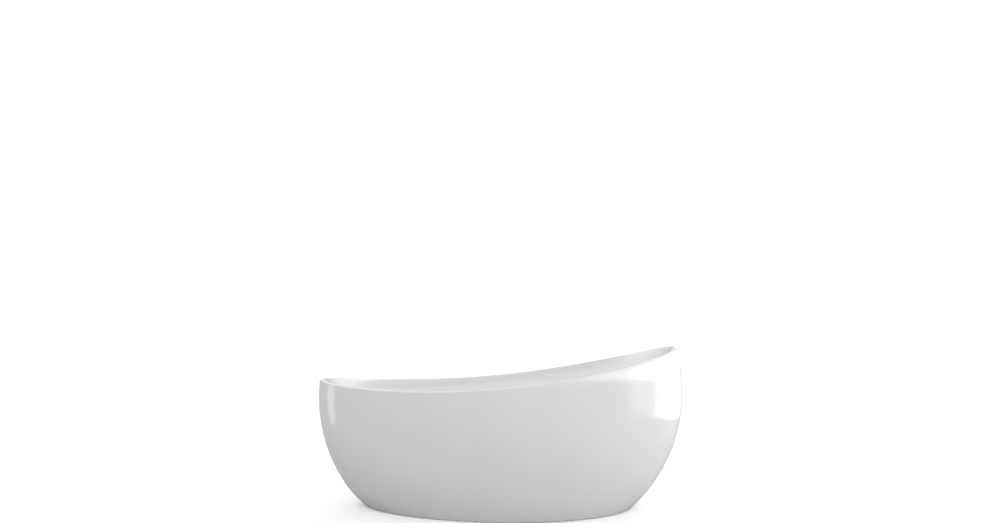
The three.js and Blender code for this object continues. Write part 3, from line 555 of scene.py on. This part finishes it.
def basin_section(angle):
    rim = rim_at(angle)
    inside = inside_section(angle, rim)
    back = behind(inside, angle, BASIN_WALL)[::2]
    seam = rim - LIP_DROP
    lip = [
        skin(angle, rim - LIP_RADIUS, LIP_THICKNESS),
        skin(angle, seam, LIP_THICKNESS),
        skin(angle, seam, EDGE),
        skin(angle, seam + EDGE * 0.3, EDGE * 0.3),
        skin(angle, seam + EDGE),
        skin(angle, seam + 4 * EDGE),
        skin(angle, rim - LIP_DROP / 2),
        skin(angle, rim - LIP_RADIUS - 4 * EDGE),
    ]
    crown = [crown_point(angle, rim, degrees) for degrees in range(0, LIP_INNER_END, 10)]
    return [*back, *lip, *crown, *reversed(inside)]


def shell_section(angle):
    girth = girth_at(angle)
    rim = rim_at(angle)
    seam = rim - LIP_DROP - SEAM
    low = SHELL_FLOOR_GAP
    foot = [
        skin(angle, low, HEM),
        skin(angle, low + HEM * 0.3, HEM * 0.3),
        skin(angle, low + HEM),
    ]
    belly = [skin(angle, height) for height in span(50, low + 2.5 * HEM, girth)]
    brow = [skin(angle, height) for height in span(10, girth, seam - 5 * EDGE)[1:]]
    lap = LIP_THICKNESS + GAP
    tongue_top = rim - LIP_RADIUS - 0.002
    tongue = [
        skin(angle, seam - EDGE),
        skin(angle, seam - EDGE * 0.3, EDGE * 0.3),
        skin(angle, seam, EDGE),
        skin(angle, seam, lap),
        skin(angle, tongue_top, lap),
        skin(angle, tongue_top, lap + SHELL_TONGUE_WALL),
        skin(angle, seam - 0.004, lap + SHELL_TONGUE_WALL),
    ]
    inner = [skin(angle, height, SHELL_WALL) for height in span(24, seam - 0.020, low)]
    return [*foot, *belly, *brow, *tongue, *inner]


WASTE_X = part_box("waste_plug")[0].x / 2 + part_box("waste_plug")[1].x / 2
KNOB_JOINT = next(joint for joint in frame["joints"] if joint["name"] == "knob_turn")
KNOB_SEAT = Vector(KNOB_JOINT["pos_m"])
KNOB_AXIS = Vector(KNOB_JOINT["axis"])
# local +X of the overflow runs down the slope of the wall, local +Z out along the knob's axis
OVERFLOW = Matrix.Translation(KNOB_SEAT) @ Matrix((
    (KNOB_AXIS.z, 0, KNOB_AXIS.x, 0), (0, 1, 0, 0), (-KNOB_AXIS.x, 0, KNOB_AXIS.z, 0), (0, 0, 0, 1),
))
WASTE = Matrix.Translation((WASTE_X, 0, 0))
WASTE_FLOOR = floor_height(WASTE_X)
FRONT_SEAT = -0.0015  # faces cut flat round the overflow's hole, inside and behind the wall
BACK_SEAT = -0.006
HOLE_RADIUS = 0.026  # through the basin, for the waste and for the overflow
WASTE_SEAT_RADIUS = 0.035
OVERFLOW_SEAT_RADIUS = 0.0375


def cutter(radius, bottom, top, matrix):
    return move(turned("cutter", [(0, bottom), (radius, bottom), (radius, top), (0, top)], 128), matrix)


def two_sided(piece, is_front):
    """Acrylic where is_front(centre, normal) holds, and laminate on the rest."""
    piece.data.materials.append(ACRYLIC)
    piece.data.materials.append(LAMINATE)
    for face in piece.data.polygons:
        face.material_index = 0 if is_front(face.center, face.normal) else 1


def make_basin():
    basin = loft("basin", rings_of(basin_section), capped=True)
    boolean(basin, cutter(HOLE_RADIUS, 0, 0.2, WASTE))
    boolean(basin, cutter(WASTE_SEAT_RADIUS, WASTE_FLOOR - 0.0025, 0.2, WASTE))
    boolean(basin, cutter(HOLE_RADIUS, -0.03, 0.03, OVERFLOW))
    boolean(basin, cutter(OVERFLOW_SEAT_RADIUS, FRONT_SEAT, 0.02, OVERFLOW))
    boolean(basin, cutter(OVERFLOW_SEAT_RADIUS, -0.03, BACK_SEAT, OVERFLOW))
    shade(basin, 32)
    place(basin, "inner_basin", "tub", None)
    middle = Vector((FLOOR_CENTRE_X, 0, 0.75))

    def seen_by_bather(centre, normal):
        lip_bottom = rim_height(centre.x) - LIP_DROP - 0.001
        return centre.z > lip_bottom or (middle - centre).dot(normal) > 0

    two_sided(basin, seen_by_bather)


def make_shell():
    shell = loft("shell", rings_of(shell_section), capped=False)
    place(shell, "outer_shell", "tub", None)
    two_sided(shell, lambda centre, normal: normal.dot(Vector((centre.x, centre.y, 0))) > 0)


make_basin()
make_shell()


# ---- Small-part tools ---------------------------------------------------------------------

def mm(*points):
    return [tuple(value / 1000 for value in point) for point in points]


def turn_to(axis):
    """Matrix that lays a solid turned about +Z along +X or +Y."""
    if axis == "x":
        return Matrix.Rotation(math.radians(90), 4, "Y")
    return Matrix.Rotation(math.radians(-90), 4, "X")


def at(x, y, z):
    return Matrix.Translation((x / 1000, y / 1000, z / 1000))


def sleeve(inner, outer, bottom, top, edge=0.4, steps=96, wobble=None):
    """Ring turned about +Z with eased edges, in millimetres."""
    profile = rounded(mm(*ring_profile(inner, outer, bottom, top)), edge / 1000)
    return turned("sleeve", profile, steps, wobble)


def rod(radius, bottom, top, edge=0.4, steps=64):
    corners = mm((0, bottom), (radius, bottom), (radius, top), (0, top))
    profile = rounded(corners, edge / 1000, closed=False)
    return turned("rod", profile, steps)


def bar(low, high, edge):
    return block("bar", mm(low)[0], mm(high)[0], edge / 1000)


def add_fins(piece, low, high):
    """Twelve fins round a cup, copied from the one between two corners."""
    for twelfth in range(12):
        turn = Matrix.Rotation(math.radians(30 * twelfth + 15), 4, "Z")
        boolean(piece, move(bar(low, high, 0.3), turn), "UNION")


def gripped(count, depth, beyond):
    """Shallow flutes round everything outside the radius `beyond`, in millimetres."""
    def wobble(angle, radius, height):
        if radius < beyond / 1000:
            return radius
        return radius - depth / 1000 * (0.5 + 0.5 * math.cos(count * angle)) ** 3
    return wobble


def hexagonal(radius, beyond, bottom, top):
    """Six flats outside the radius `beyond`, with the corners turned off at both ends."""
    def wobble(angle, reach, height):
        if reach < beyond / 1000:
            return reach
        flat = radius * math.cos(math.pi / 6) / math.cos(angle % (math.pi / 3) - math.pi / 6)
        from_end = min(height * 1000 - bottom, top - height * 1000)
        return min(flat, radius * 0.92 + from_end * 1.7) / 1000
    return wobble


def path_points(points, samples):
    """Centripetal Catmull-Rom curve through points, evenly stepped by curve number."""
    first = points[0] * 2 - points[1]
    last = points[-1] * 2 - points[-2]
    knots = [first, *points, last]
    done = []
    for i in range(samples + 1):
        place_on = i / samples * (len(points) - 1)
        part = min(int(place_on), len(points) - 2)
        a, b, c, d = knots[part:part + 4]
        ab, bc, cd = (max((q - p).length ** 0.5, 1e-6) for p, q in ((a, b), (b, c), (c, d)))
        leave = ((b - a) / ab - (c - a) / (ab + bc) + (c - b) / bc) * bc
        arrive = ((c - b) / bc - (d - b) / (bc + cd) + (d - c) / cd) * bc
        t = place_on - part
        done.append(
            b * (2 * t ** 3 - 3 * t ** 2 + 1) + leave * (t ** 3 - 2 * t ** 2 + t)
            + c * (-2 * t ** 3 + 3 * t ** 2) + arrive * (t ** 3 - t ** 2)
        )
    return done


def even_steps(points, step):
    """Points a fixed distance apart along a polyline, and their distances from its start."""
    lengths = [0.0]
    for a, b in zip(points, points[1:]):
        lengths.append(lengths[-1] + (b - a).length)
    count = max(2, round(lengths[-1] / step))
    placed = []
    part = 0
    for i in range(count + 1):
        wanted = lengths[-1] * i / count
        while part < len(points) - 2 and lengths[part + 1] < wanted:
            part += 1
        share = (wanted - lengths[part]) / max(lengths[part + 1] - lengths[part], 1e-9)
        placed.append((points[part].lerp(points[part + 1], share), wanted))
    return placed, lengths[-1]


def swept(name, points, step, outer, inner=None, sides=32):
    """Round piece along a path. outer and inner give a radius from (distance, whole length)."""
    placed, length = even_steps(path_points(points, 600), step)
    centres = [point for point, _ in placed]
    rings = {"out": [], "in": []}
    along = (centres[1] - centres[0]).normalized()
    across = along.cross(Vector((0, 1, 0))).normalized()
    for i, (centre, distance) in enumerate(placed):
        ahead = centres[min(i + 1, len(centres) - 1)] - centres[max(i - 1, 0)]
        across = Quaternion(along.rotation_difference(ahead)) @ across
        along = ahead.normalized()
        other = along.cross(across).normalized()
        for key, radius in (("out", outer), ("in", inner)):
            if radius is None:
                continue
            reach = radius(distance, length)
            rings[key].append([
                centre + (across * math.cos(turn) + other * math.sin(turn)) * reach
                for turn in (TAU * side / sides for side in range(sides))
            ])
    if inner is None:
        return loft(name, rings["out"], capped=True)
    return loft(name, [*rings["out"], *reversed(rings["in"])], capped=False)


def rounded_box_ring(half_width, half_height, radius):
    points = []
    for corner in range(4):
        sx, sy = ((1, 1), (-1, 1), (-1, -1), (1, -1))[corner]
        for step in range(7):
            turn = math.radians(90 * corner + 15 * step)
            points.append((
                sx * (half_width - radius) + radius * math.cos(turn),
                sy * (half_height - radius) + radius * math.sin(turn),
            ))
    return points


def rail(name, low, high, axis):
    """Open rectangular steel tube with rolled corners, filling the given box along an axis."""
    middle = (low + high) / 2
    half = (high - low) / 2
    across = 1 - axis
    wall = 0.002
    rings = []
    shapes = (
        (half[across], half.z, 0.0035), (half[across] - wall, half.z - wall, 0.0018),
    )
    for (width, height, radius), ends in zip(shapes, ((-1, 1), (1, -1))):
        for end in ends:
            ring = []
            for u, v in rounded_box_ring(width, height, radius):
                point = middle.copy()
                point[axis] += end * half[axis]
                point[across] += u
                point.z += v
                ring.append(point)
            rings.append(ring)
    return loft(name, rings, capped=False)


# ---- Board, frame and straps --------------------------------------------------------------

def make_board_piece():
    low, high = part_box("base_board")
    middle_x = (low.x + high.x) / 2
    half_length = (high.x - low.x) / 2
    half_width = 0.205
    ease = 0.003

    def section(angle):
        def point(inset, height):
            x = middle_x + (half_length - inset) * math.cos(angle)
            return Vector((x, (half_width - inset) * egg_width(angle), height))
        top = floor_height(point(0, 0).x) - BASIN_WALL - GAP
        return [
            point(half_width * 0.5, low.z), point(ease, low.z), point(ease * 0.3, low.z + ease * 0.3),
            point(0, low.z + ease), point(0, top - ease), point(ease * 0.3, top - ease * 0.3),
            point(ease, top), point(half_width * 0.5, top),
        ]

    board = loft("board", rings_of(section), capped=True)
    place(board, "base_board", "tub", BOARD)


def make_rails():
    for side in ("left", "right"):
        node = f"long_rail_{side}"
        place(rail(f"rail_{side}", *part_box(node), 0), node, "tub", ZINC)
    for spot in ("foot_end", "middle", "head_end"):
        node = f"cross_rail_{spot}"
        low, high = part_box(node)
        beam = rail(f"beam_{spot}", low, high, 1)
        for side in ("left", "right"):
            foot_low, foot_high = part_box(f"foot_stud_{spot}_{side}")
            centre = (foot_low + foot_high) / 2
            boolean(beam, cutter(0.0063, 0.03, 0.1, at(centre.x * 1000, centre.y * 1000, 0)))
        shade(beam, 35)
        place(beam, node, "tub", ZINC)


def skin_angle(x, height):
    """Plan angle, on the left side, at which the outer skin passes a given x."""
    low, high = 0.0, math.pi
    for _ in range(40):
        middle = (low + high) / 2
        low, high = (low, middle) if skin(middle, height).x < x else (middle, high)
    return low


def make_straps():
    thick = 0.003
    for spot in ("foot_end", "middle", "head_end"):
        for side, sign in (("left", 1), ("right", -1)):
            node = f"shell_strap_{spot}_{side}"
            low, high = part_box(node)
            x = (low.x + high.x) / 2
            far = max(abs(low.y), abs(high.y))
            near = min(abs(low.y), abs(high.y))
            bend = skin(skin_angle(x, low.z), low.z, SHELL_WALL + 0.012).y
            outline = rounded([
                (near, low.z), (bend, low.z), (far, high.z), (far - thick, high.z),
                (bend - thick, low.z + thick), (near, low.z + thick),
            ], 0.004)
            rings = [
                [(x + offset, sign * y, z) for y, z in outline]
                for offset in ((low.x - high.x) / 2, (high.x - low.x) / 2)
            ]
            strap = loft(f"strap_{spot}_{side}", rings, capped=True)
            foot = (near + bend) / 2
            if bend - near > 0.025:
                y_low, y_high = sorted((sign * (foot - 0.008), sign * (foot + 0.008)))
                slot_low = (x - 0.0035, y_low, low.z - 0.01)
                slot_high = (x + 0.0035, y_high, low.z + 0.01)
                boolean(strap, block("slot", slot_low, slot_high))
            shade(strap, 35)
            place(bevelled(strap, 0.0005, 2), node, "tub", ZINC)


# ---- Levelling feet -----------------------------------------------------------------------

def thread(pitch, depth):
    def wobble(angle, radius, height):
        if radius < 0.0058:
            return radius
        share = (height / pitch - angle / TAU) % 1
        return radius - depth * abs(2 * share - 1)
    return wobble


def make_feet():
    pitch = 0.00175
    chamfer = 0.0015
    for spot in ("foot_end", "middle", "head_end"):
        for side in ("left", "right"):
            where = f"{spot}_{side}"
            low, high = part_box(f"foot_stud_{where}")
            centre = (low + high) / 2
            there = at(centre.x * 1000, centre.y * 1000, 0)
            body = f"foot_{where}"
            pad = turned(f"pad_{where}", rounded(mm(
                (0, 0), (24, 0), (28, 0), (30, 2), (30, 4), (25, 7.2), (13, 12.6), (11, 14), (11, 16),
                (6.5, 16), (6.5, 6), (0, 6),
            ), 0.0008, closed=False), 96, gripped(12, 1.6, 24.5))
            place(move(pad, there), f"foot_pad_{where}", body, BLACK)
            row_count = int((high.z - low.z - 2 * chamfer) / pitch * 6)
            rows = [low.z + chamfer + pitch / 6 * i for i in range(row_count)]
            profile = [
                (0, low.z), (0.0045, low.z), *((0.006, z) for z in rows),
                (0.0045, high.z), (0, high.z),
            ]
            stud = turned(f"stud_{where}", profile, 36, thread(pitch, 0.00095), 25)
            place(move(stud, there), f"foot_stud_{where}", body, ZINC)
            nut_low, nut_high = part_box(f"foot_nut_{where}")
            bottom, top = nut_low.z * 1000, nut_high.z * 1000
            levels = span(9, bottom, top)
            profile = mm((6.4, bottom), *((11, level) for level in levels), (6.4, top))
            nut = turned(f"nut_{where}", profile, 96, hexagonal(11, 8, bottom, top), 25)
            place(move(nut, there), f"foot_nut_{where}", "tub", ZINC)


# ---- Pop-up waste and trap ----------------------------------------------------------------

def make_waste():
    low, high = (v.z * 1000 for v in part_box("waste_flange"))
    flange = turned("flange", rounded(mm(
        (21, low), (24, low), (24, high - 2.4), (34, high - 2.4), (34, high - 0.7), (33.3, high - 0.1),
        (30, high), (27, high - 0.4), (23, high - 1.8), (21, high - 4),
    ), 0.0005), 128)
    guide = sleeve(3.4, 6, low, low + 3)
    arms = []
    for quarter in range(4):
        arm = bar((5, -1.4, low), (22.5, 1.4, low + 3), 0.4)
        arms.append(move(arm, Matrix.Rotation(math.radians(90 * quarter), 4, "Z")))
    for part in (guide, *arms):
        boolean(flange, part, "UNION")
    shade(flange, 35)
    place(move(flange, WASTE), "waste_flange", "tub", CHROME)

    low, high = (v.z * 1000 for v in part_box("waste_plug"))
    cap = turned("plug_cap", rounded(mm(
        (0, low), (28, low), (29, low + 0.8), (29, low + 1.5), (27.6, low + 2.9), (23, low + 4),
        (12, low + 4.8), (0, high),
    ), 0.0012, closed=False), 128)
    place(move(cap, WASTE), "waste_plug", "plug", CHROME)
    low, high = (v.z * 1000 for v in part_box("plug_seal"))
    seal = turned("plug_lip_seal", rounded(mm(
        (14, low + 0.6), (17, low + 0.6), (20, low), (20, low + 0.8), (18, high), (14, high),
    ), 0.0003))
    place(move(seal, WASTE), "plug_seal", "plug", RUBBER)
    low, high = (v.z * 1000 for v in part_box("plug_stem"))
    stem = turned("plug_rod", rounded(mm(
        (0, low), (2, low), (3, low + 1.2), (3, high - 6), (2.4, high - 5.6), (2.4, high - 4.4),
        (3, high - 4), (3, high), (0, high),
    ), 0.0003, closed=False), 48)
    place(move(stem, WASTE), "plug_stem", "plug", BRASS)

    low, high = (v.z * 1000 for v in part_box("waste_gasket"))
    place(move(sleeve(24.4, 36, low, high, 0.6), WASTE), "waste_gasket", "tub", RUBBER)

    low, high = 56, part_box("waste_body")[1].z * 1000
    body = turned("waste_cup", rounded(mm(
        (24.6, low), (27.4, low), (27.4, low + 8), (28, low + 9), (28, high - 6), (30, high - 4),
        (36, high - 4), (36, high), (24.6, high),
    ), 0.0006), 128)
    branch_z = 86
    boolean(body, move(sleeve(8.9, 11, -48, -25.8), at(0, 0, branch_z) @ turn_to("x")), "UNION")
    boolean(body, move(rod(9, -49, -10), at(0, 0, branch_z) @ turn_to("x")))
    add_fins(body, (27.4, -0.9, high - 12), (34, 0.9, high - 3.5))
    boolean(body, bar((-13, 22.5, 63), (-9, 42, 76), 1.2), "UNION")
    boolean(body, move(rod(3.4, 0, 41), at(16, 0, 80) @ turn_to("y")))
    shade(body, 35)
    place(move(body, WASTE), "waste_body", "tub", GREY)

    lever = move(rod(3, -3, 36), turn_to("y"))
    boolean(lever, bar((-16, -2.5, -1), (0, 2.5, 1), 0.5), "UNION")
    boolean(lever, move(rod(2.5, -2.5, 2.5), at(-16, 0, 0) @ turn_to("y")), "UNION")
    boolean(lever, bar((-2, 32, -14), (2, 36, 0), 0.8), "UNION")
    shade(lever, 35)
    place(move(lever, WASTE @ at(16, 0, 80)), "lift_lever", "lever", ZINC)

    low, high = (v.z * 1000 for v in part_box("trap_seal"))
    place(move(sleeve(20.5, 27.5, low, high, 0.6), WASTE), "trap_seal", "tub", RUBBER)
    low, high = (v.z * 1000 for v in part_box("trap_nut"))
    nut = sleeve(28.6, 34, low, high, 0.7, 144, gripped(18, 1.4, 31))
    place(move(nut, WASTE), "trap_nut", "tub", BLACK)
    cover = turned("trap_lid", rounded(mm(
        (20, 20), (23, 20), (23, 46), (47, 46), (48, 47), (48, 50.4), (46, 52), (20, 52),
    ), 0.0007), 144, gripped(24, 0.9, 47.5))
    place(move(cover, WASTE), "trap_cover", "tub", GREY)
    pot = turned("trap_bowl", rounded(mm(
        (0, 10), (38, 10), (43, 11.2), (46, 15), (46, 45.7), (43, 45.7), (43, 15), (41, 13), (0, 13),
    ), 0.0012, closed=False), 128)
    boolean(pot, move(sleeve(9.9, 12, 44, 78), at(0, 0, 29) @ turn_to("x")), "UNION")
    boolean(pot, move(rod(10, 38, 79), at(0, 0, 29) @ turn_to("x")))
    shade(pot, 35)
    place(move(pot, WASTE), "trap_pot", "tub", GREY)

    start, end = (v.x * 1000 - WASTE_X * 1000 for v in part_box("outlet_pipe"))
    pipe = turned("drain_pipe", rounded(mm(
        (12.3, start), (20, start), (20, end - 3), (19, end), (18, end),
        (18, start + 22), (12.3, start + 15),
    ), 0.0004), 96)
    place(move(pipe, WASTE @ at(0, 0, 29) @ turn_to("x")), "outlet_pipe", "tub", GREY)
    start, end = (v.x * 1000 - WASTE_X * 1000 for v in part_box("outlet_nut"))
    collar = sleeve(20.5, 25, start, end, 0.6, 144, gripped(16, 1.2, 23))
    place(move(collar, WASTE @ at(0, 0, 29) @ turn_to("x")), "outlet_nut", "tub", BLACK)


# ---- Rotary overflow ----------------------------------------------------------------------

def make_overflow():
    rosette = turned("rosette", rounded(mm(
        (22.5, -14), (25.5, -14), (25.5, -1.2), (35.4, -1.2), (36, -0.6), (35.6, 0.5), (34, 1.3),
        (31, 1.5), (22.5, 1.5),
    ), 0.0006), 128)
    place(move(rosette, OVERFLOW), "overflow_rosette", "tub", CHROME)
    knob = turned("rotary_knob", rounded(mm(
        (0, 12.8), (7, 12.8), (7, 28), (26, 28), (30, 8.5), (33, 8.5), (32.6, 22), (31, 28), (27, 31.4),
        (16, 32.2), (0, 32.5),
    ), 0.0022, 6, closed=False), 160)
    place(move(knob, OVERFLOW), "overflow_knob", "knob", CHROME)
    spindle = turned("spindle", rounded(mm(
        (0, -62), (3.2, -62), (4, -61), (4, -20), (3.4, -19.4), (3.4, -17.6), (4, -17), (4, 11.5),
        (3.2, 12.5), (0, 12.5),
    ), 0.0003, closed=False), 48)
    place(move(spindle, OVERFLOW), "knob_spindle", "knob", BRASS)
    spool = turned("spool", rounded(mm(
        (4.4, -60), (15, -60), (15, -58), (11.5, -56.6), (11.5, -52.4), (15, -51), (15, -49), (4.4, -49),
    ), 0.0004), 96)
    place(move(spool, OVERFLOW), "cable_spool", "knob", BLACK)
    gasket = sleeve(26.5, 36, -9.3, -6.3, 0.7)
    place(move(gasket, OVERFLOW), "overflow_gasket", "tub", RUBBER)
    cup = turned("overflow_bowl", rounded(mm(
        (26, -9.6), (26, -42), (25, -43), (4.5, -43), (4.5, -46), (27.5, -46), (29, -44.5), (29, -14.6),
        (31, -12.6), (36, -12.6), (36, -9.6),
    ), 0.0006), 128)
    boolean(cup, move(sleeve(8.9, 11, 27, 44), at(0, 0, -29) @ turn_to("x")), "UNION")
    boolean(cup, move(rod(9, 10, 53), at(0, 0, -29) @ turn_to("x")))
    add_fins(cup, (28.4, -0.9, -22), (34.5, 0.9, -12.2))
    shade(cup, 35)
    place(move(cup, OVERFLOW), "overflow_cup", "tub", GREY)
    cover = turned("cable_lid", rounded(mm(
        (0, -66.3), (19.6, -66.3), (21, -65), (21, -46.3), (19, -46.3), (19, -64.3), (0, -64.3),
    ), 0.0006, closed=False), 96)
    boolean(cover, move(rod(2.9, 15, 25), at(0, 0, -56.3) @ turn_to("x")))
    shade(cover, 35)
    place(move(cover, OVERFLOW), "cable_cover", "tub", BLACK)


def make_clamps():
    for node, frame_of, (x, y, z) in (
        ("hose_clamp_bottom", Matrix.Identity(4), (-458, 0, 86)),
        ("hose_clamp_top", OVERFLOW, (43, 0, -29)),
    ):
        clamp = sleeve(14.4, 15.4, -5, 5, 0.2)
        move(clamp, turn_to("x"))
        housing = bar((-3.2, -4.2, 14.6), (3.2, 4.2, 19.4), 0.8)
        screw = move(rod(2.0, -5.6, 5.6, 0.5, 24), at(0, 0, 17.2) @ turn_to("y"))
        turn = Matrix.Rotation(math.radians(45), 4, "X")
        for part in (housing, screw):
            boolean(clamp, move(part, turn), "UNION")
        shade(clamp, 35)
        place(move(clamp, frame_of @ at(x, y, z)), node, "tub", ZINC)


# ---- Hose and cable -----------------------------------------------------------------------

def beside_overflow(x, y, z):
    return OVERFLOW @ Vector(mm((x, y, z))[0])


def make_hose():
    points = [
        beside_overflow(36, 0, -29), beside_overflow(52, 0, -29), beside_overflow(82, 0, -35),
        *(Vector(p) for p in mm(
            (-688, 0, 260), (-640, 0, 150), (-575, 0, 98), (-503, 0, 87), (-465, 0, 86), (-453, 0, 86),
        )),
    ]
    cuff = 0.026
    pitch = 0.0045

    def ridge(distance, length):
        if min(distance, length - distance) < cuff:
            return 0.0
        return 0.5 - 0.5 * math.cos(TAU * (distance - cuff) / pitch)

    hose = swept(
        "hose", points, pitch / 8,
        lambda distance, length: 0.014 - 0.0018 * ridge(distance, length),
        lambda distance, length: 0.012 - 0.0014 * ridge(distance, length),
    )
    place(hose, "overflow_hose", "tub", GREY)


def make_cable():
    points = [
        beside_overflow(21.3, 0, -56.3), beside_overflow(50, 2, -59.3),
        *(Vector(p) for p in mm(
            (-740, 18, 300), (-690, 28, 190), (-610, 33, 112), (-520, 33, 80), (-465, 33, 69),
            (-428.3, 33, 68),
        )),
    ]
    ferrule = 0.016

    def radius(distance, length):
        from_end = min(distance, length - distance)
        if from_end < ferrule:
            return 0.0025
        return 0.0021

    cable = swept("cable_sheath", points, 0.002, radius, sides=20)
    place(cable, "bowden_cable", "tub", BLACK)


make_board_piece()
make_rails()
make_straps()
make_feet()
make_waste()
make_overflow()
make_clamps()
make_hose()
make_cable()


# ---- Studio -------------------------------------------------------------------------------

FLOOR_HALF = 30
FLOOR_DROP = 0.0005  # just under the feet, so that the two never share a plane
FLOOR_GLOW = 0.2  # seen by the camera, which makes the floor as white as the photo's
FLOOR_DIM = 0.55  # grey that the tub sees instead
# Layers of light round the room, each with its brightness at the foot end and at the head end and
# its share at each height (as the sine of the angle above the horizon). The ceiling is dim.
WORLD_LIGHT = (
    (1.05, 1.5, ((0.0, 0.03), (0.82, 1.0), (0.9, 0.15), (1.0, 0.05))),
    (0.0, 4.6, ((0.0, 1.0), (0.03, 1.0), (0.21, 0.0))),
    (1.7, 0.0, ((0.45, 0.0), (0.75, 1.0), (0.9, 0.0))),
)
# Name, watts, width, height, place, point it faces, and whether it lights surfaces diffusely.
PANELS = (
    ("head_panel", 11, 2.4, 0.85, (2.4, 0.55, 0.43), (0.6, 0.55, 0.43), False),
    ("head_glow", 8, 2.6, 0.85, (2.42, -0.4, 0.43), (0.6, -0.4, 0.43), True),
    ("foot_strip", 0.65, 0.32, 0.5, (-2.1, -0.02, 0.3), (-0.8, -0.25, 0.3), False),
    ("under_panel", 1.0, 0.9, 0.3, (0, 0, 0.002), (0, 0, 1), True),
)


def panel(name, energy, width, height, location, target, diffuse):
    """Light panel that the camera does not see. Unless it is diffuse, it gives only a shine."""
    data = bpy.data.lights.new(name, "AREA")
    data.energy = energy
    data.shape = "RECTANGLE"
    data.size = width
    data.size_y = height
    light = bpy.data.objects.new(name, data)
    bpy.context.scene.collection.objects.link(light)
    light.location = location
    light.rotation_euler = (Vector(target) - Vector(location)).to_track_quat("-Z", "Y").to_euler()
    light.visible_camera = False
    light.visible_diffuse = diffuse


def make_floor():
    """White to the camera, dimmer to the tub, and clear from below to show the underside."""
    signs = ((-1, -1), (1, -1), (1, 1), (-1, 1))
    corners = [(x * FLOOR_HALF, y * FLOOR_HALF, -FLOOR_DROP) for x, y in signs]
    floor = mesh_object("floor", corners, [(0, 1, 2, 3)])
    surface = Surface("floor", (0.93, 0.93, 0.93), 0.9)
    mottle = surface.noise(1.5, 4)
    surface.colour(surface.ramp(mottle, (0.3, (0.925,) * 3), (0.7, (0.935,) * 3)))
    surface.shader.inputs["Emission Color"].default_value = (1, 1, 1, 1)
    surface.shader.inputs["Emission Strength"].default_value = FLOOR_GLOW
    dim = surface.node("ShaderNodeBsdfDiffuse")
    dim.inputs["Color"].default_value = (FLOOR_DIM, FLOOR_DIM, FLOOR_DIM, 1)
    path = surface.node("ShaderNodeLightPath")
    choice = surface.node("ShaderNodeMixShader")
    surface.link(path.outputs["Is Camera Ray"], choice.inputs["Fac"])
    surface.link(dim.outputs["BSDF"], choice.inputs[1])
    surface.link(surface.shader.outputs["BSDF"], choice.inputs[2])
    clear = surface.node("ShaderNodeBsdfTransparent")
    side = surface.node("ShaderNodeNewGeometry")
    one_sided = surface.node("ShaderNodeMixShader")
    surface.link(side.outputs["Backfacing"], one_sided.inputs["Fac"])
    surface.link(choice.outputs["Shader"], one_sided.inputs[1])
    surface.link(clear.outputs["BSDF"], one_sided.inputs[2])
    surface.link(one_sided.outputs["Shader"], surface.tree.nodes["Material Output"].inputs["Surface"])
    floor.data.materials.append(surface.material)


def make_world():
    """White to the camera. To the tub, a room brighter overhead and low at the head end."""
    world = bpy.data.worlds.new("studio")
    bpy.context.scene.world = world
    world.use_nodes = True
    tree = world.node_tree
    tree.nodes.clear()

    def node(kind, **settings):
        made = tree.nodes.new(kind)
        for key, value in settings.items():
            made.inputs[key].default_value = value
        return made

    coords = node("ShaderNodeTexCoord")
    axes = node("ShaderNodeSeparateXYZ")
    tree.links.new(coords.outputs["Generated"], axes.inputs["Vector"])
    total = None
    for at_foot, at_head, heights in WORLD_LIGHT:
        along = node("ShaderNodeMapRange", **{"From Min": -1, "To Min": at_foot, "To Max": at_head})
        tree.links.new(axes.outputs["X"], along.inputs["Value"])
        band = node("ShaderNodeValToRGB")
        ramp = band.color_ramp
        while len(ramp.elements) < len(heights):
            ramp.elements.new(0.5)
        for element, (height, share) in zip(ramp.elements, heights):
            element.position = height
            element.color = (share, share, share, 1)
        tree.links.new(axes.outputs["Z"], band.inputs["Fac"])
        light = node("ShaderNodeMath")
        light.operation = "MULTIPLY_ADD"
        light.inputs[2].default_value = 0
        tree.links.new(along.outputs["Result"], light.inputs[0])
        tree.links.new(band.outputs["Color"], light.inputs[1])
        if total:
            tree.links.new(total, light.inputs[2])
        total = light.outputs["Value"]
    room = node("ShaderNodeBackground")
    tree.links.new(total, room.inputs["Strength"])
    backdrop = node("ShaderNodeBackground", Strength=1.0)
    path = node("ShaderNodeLightPath")
    choice = node("ShaderNodeMixShader")
    output = node("ShaderNodeOutputWorld")
    for background in (room, backdrop):
        background.inputs["Color"].default_value = (1, 1, 1, 1)
    tree.links.new(path.outputs["Is Camera Ray"], choice.inputs["Fac"])
    tree.links.new(room.outputs["Background"], choice.inputs[1])
    tree.links.new(backdrop.outputs["Background"], choice.inputs[2])
    tree.links.new(choice.outputs["Shader"], output.inputs["Surface"])


bpy.context.scene.view_settings.view_transform = "Standard"
make_floor()
make_world()
for settings in PANELS:
    panel(*settings)
